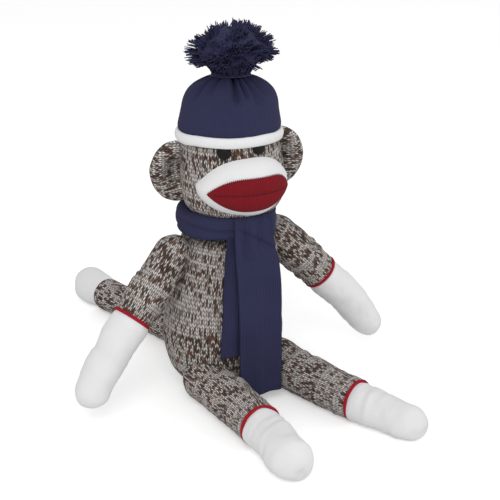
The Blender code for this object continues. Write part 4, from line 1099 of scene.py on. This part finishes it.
front, cut_size = hanging(
    "scarf_front_rib",
    [(-0.0380, 0.1754), (-0.0445, 0.1750), (-0.0482, 0.1712), (-0.0499, 0.1640),
     (-0.0504, 0.1560), (-0.0530, 0.1400), (-0.0572, 0.1150), (-0.0602, 0.0900),
     (-0.0609, 0.0500), (-0.0609, 0.0110)],
    [0.0170, 0.0184, 0.0212, 0.0214, 0.0210, 0.0210, 0.0210, 0.0210],
    [0.0004, -0.0004, 0.0012, 0.0010, 0.0004, 0.0004, 0.0004, 0.0004], 2, 0.0009,
    top_folds=0.0010, lap=0.0016)
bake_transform(front)
wear(front, NAVY, None, "navy_knit", "scarf_front_end")
back, cut_size = hanging(
    "scarf_back_rib",
    [(-0.0440, 0.1600), (-0.0448, 0.1500), (-0.0456, 0.1380), (-0.0500, 0.1150), (-0.0540, 0.0900),
     (-0.0545, 0.0515)],
    [0.0100, 0.0110, 0.0124, 0.0132, 0.0140, 0.0145],
    [-0.0120, -0.0140, -0.0165, -0.0185, -0.0200, -0.0205], 1, 0.0014)
wear(back, NAVY, "scarf_ends", "navy_knit", "scarf_back_end")

# %% [markdown]
# ## Stage
# A photograph of such a doll is taken on white paper under large soft lamps. The paper is a wide
# plane, the world is the white room, and two broad lamps shape the doll a little from its right.

# %% Floor, room and lamps
WHITE = (1, 1, 1, 1)
paper = begin("paper_floor", bpy.ops.mesh.primitive_plane_add, size=8.0)
paper_finish, shader = new_finish("matt white paper", 0.9, 0.0)
shader.inputs["Base Color"].default_value = linear("#F6F6F6")
# The photographer's paper is lit until it is white. Only the camera sees that extra light.
seen = node(paper_finish, "LightPath", out="Is Camera Ray")
lit = node(paper_finish, "Math", {0: seen, 1: 0.36}, operation="MULTIPLY")
shader.inputs["Emission Color"].default_value = WHITE
paper_finish.node_tree.links.new(lit, shader.inputs["Emission Strength"])
paper.data.materials.append(paper_finish)
room = bpy.data.worlds.new("white_room")
room.use_nodes = True
bpy.context.scene.world = room
# The room lights the doll a little less than it looks to the camera.
light = node(room, "Background", {"Color": WHITE, "Strength": 0.62})
seen = node(room, "Background", {"Color": WHITE, "Strength": 1.0})
ray = node(room, "LightPath", out="Is Camera Ray")
choose = node(room, "MixShader", {0: ray, 1: light, 2: seen})
room.node_tree.links.new(choose, room.node_tree.nodes["World Output"].inputs["Surface"])
TARGET = Vector((0.0185, -0.0112, 0.1289))      # where lamps and camera point
for name, place, size, power in (("key_lamp", (-0.9, -1.3, 1.5), 1.2, 16.0),
                                 ("fill_lamp", (1.5, -0.8, 0.9), 1.4, 5.0)):
    lamp = bpy.data.lights.new(name, "AREA")
    lamp.size = size
    lamp.energy = power
    holder = bpy.data.objects.new(name, lamp)
    holder.location = place
    holder.rotation_euler = (TARGET - Vector(place)).to_track_quat("-Z", "Y").to_euler()
    bpy.context.scene.collection.objects.link(holder)

# %% [markdown]
# The camera stands where the photographer stood: 1.1 m away, 30 degrees to the doll's right and
# 22 degrees above it, with a long lens.

# %% Camera
azimuth, elevation, distance = math.radians(-30), math.radians(22), 1.1
back_off = Vector((math.sin(azimuth) * math.cos(elevation),
                   -math.cos(azimuth) * math.cos(elevation), math.sin(elevation)))
camera = bpy.data.objects.new("camera", bpy.data.cameras.new("camera"))
camera.data.lens = 88.0
camera.data.sensor_width = 36.0
camera.location = TARGET + back_off * distance
camera.rotation_euler = (-back_off).to_track_quat("-Z", "Y").to_euler()
bpy.context.scene.collection.objects.link(camera)
bpy.context.scene.camera = camera
bpy.context.scene.view_settings.view_transform = "Standard"
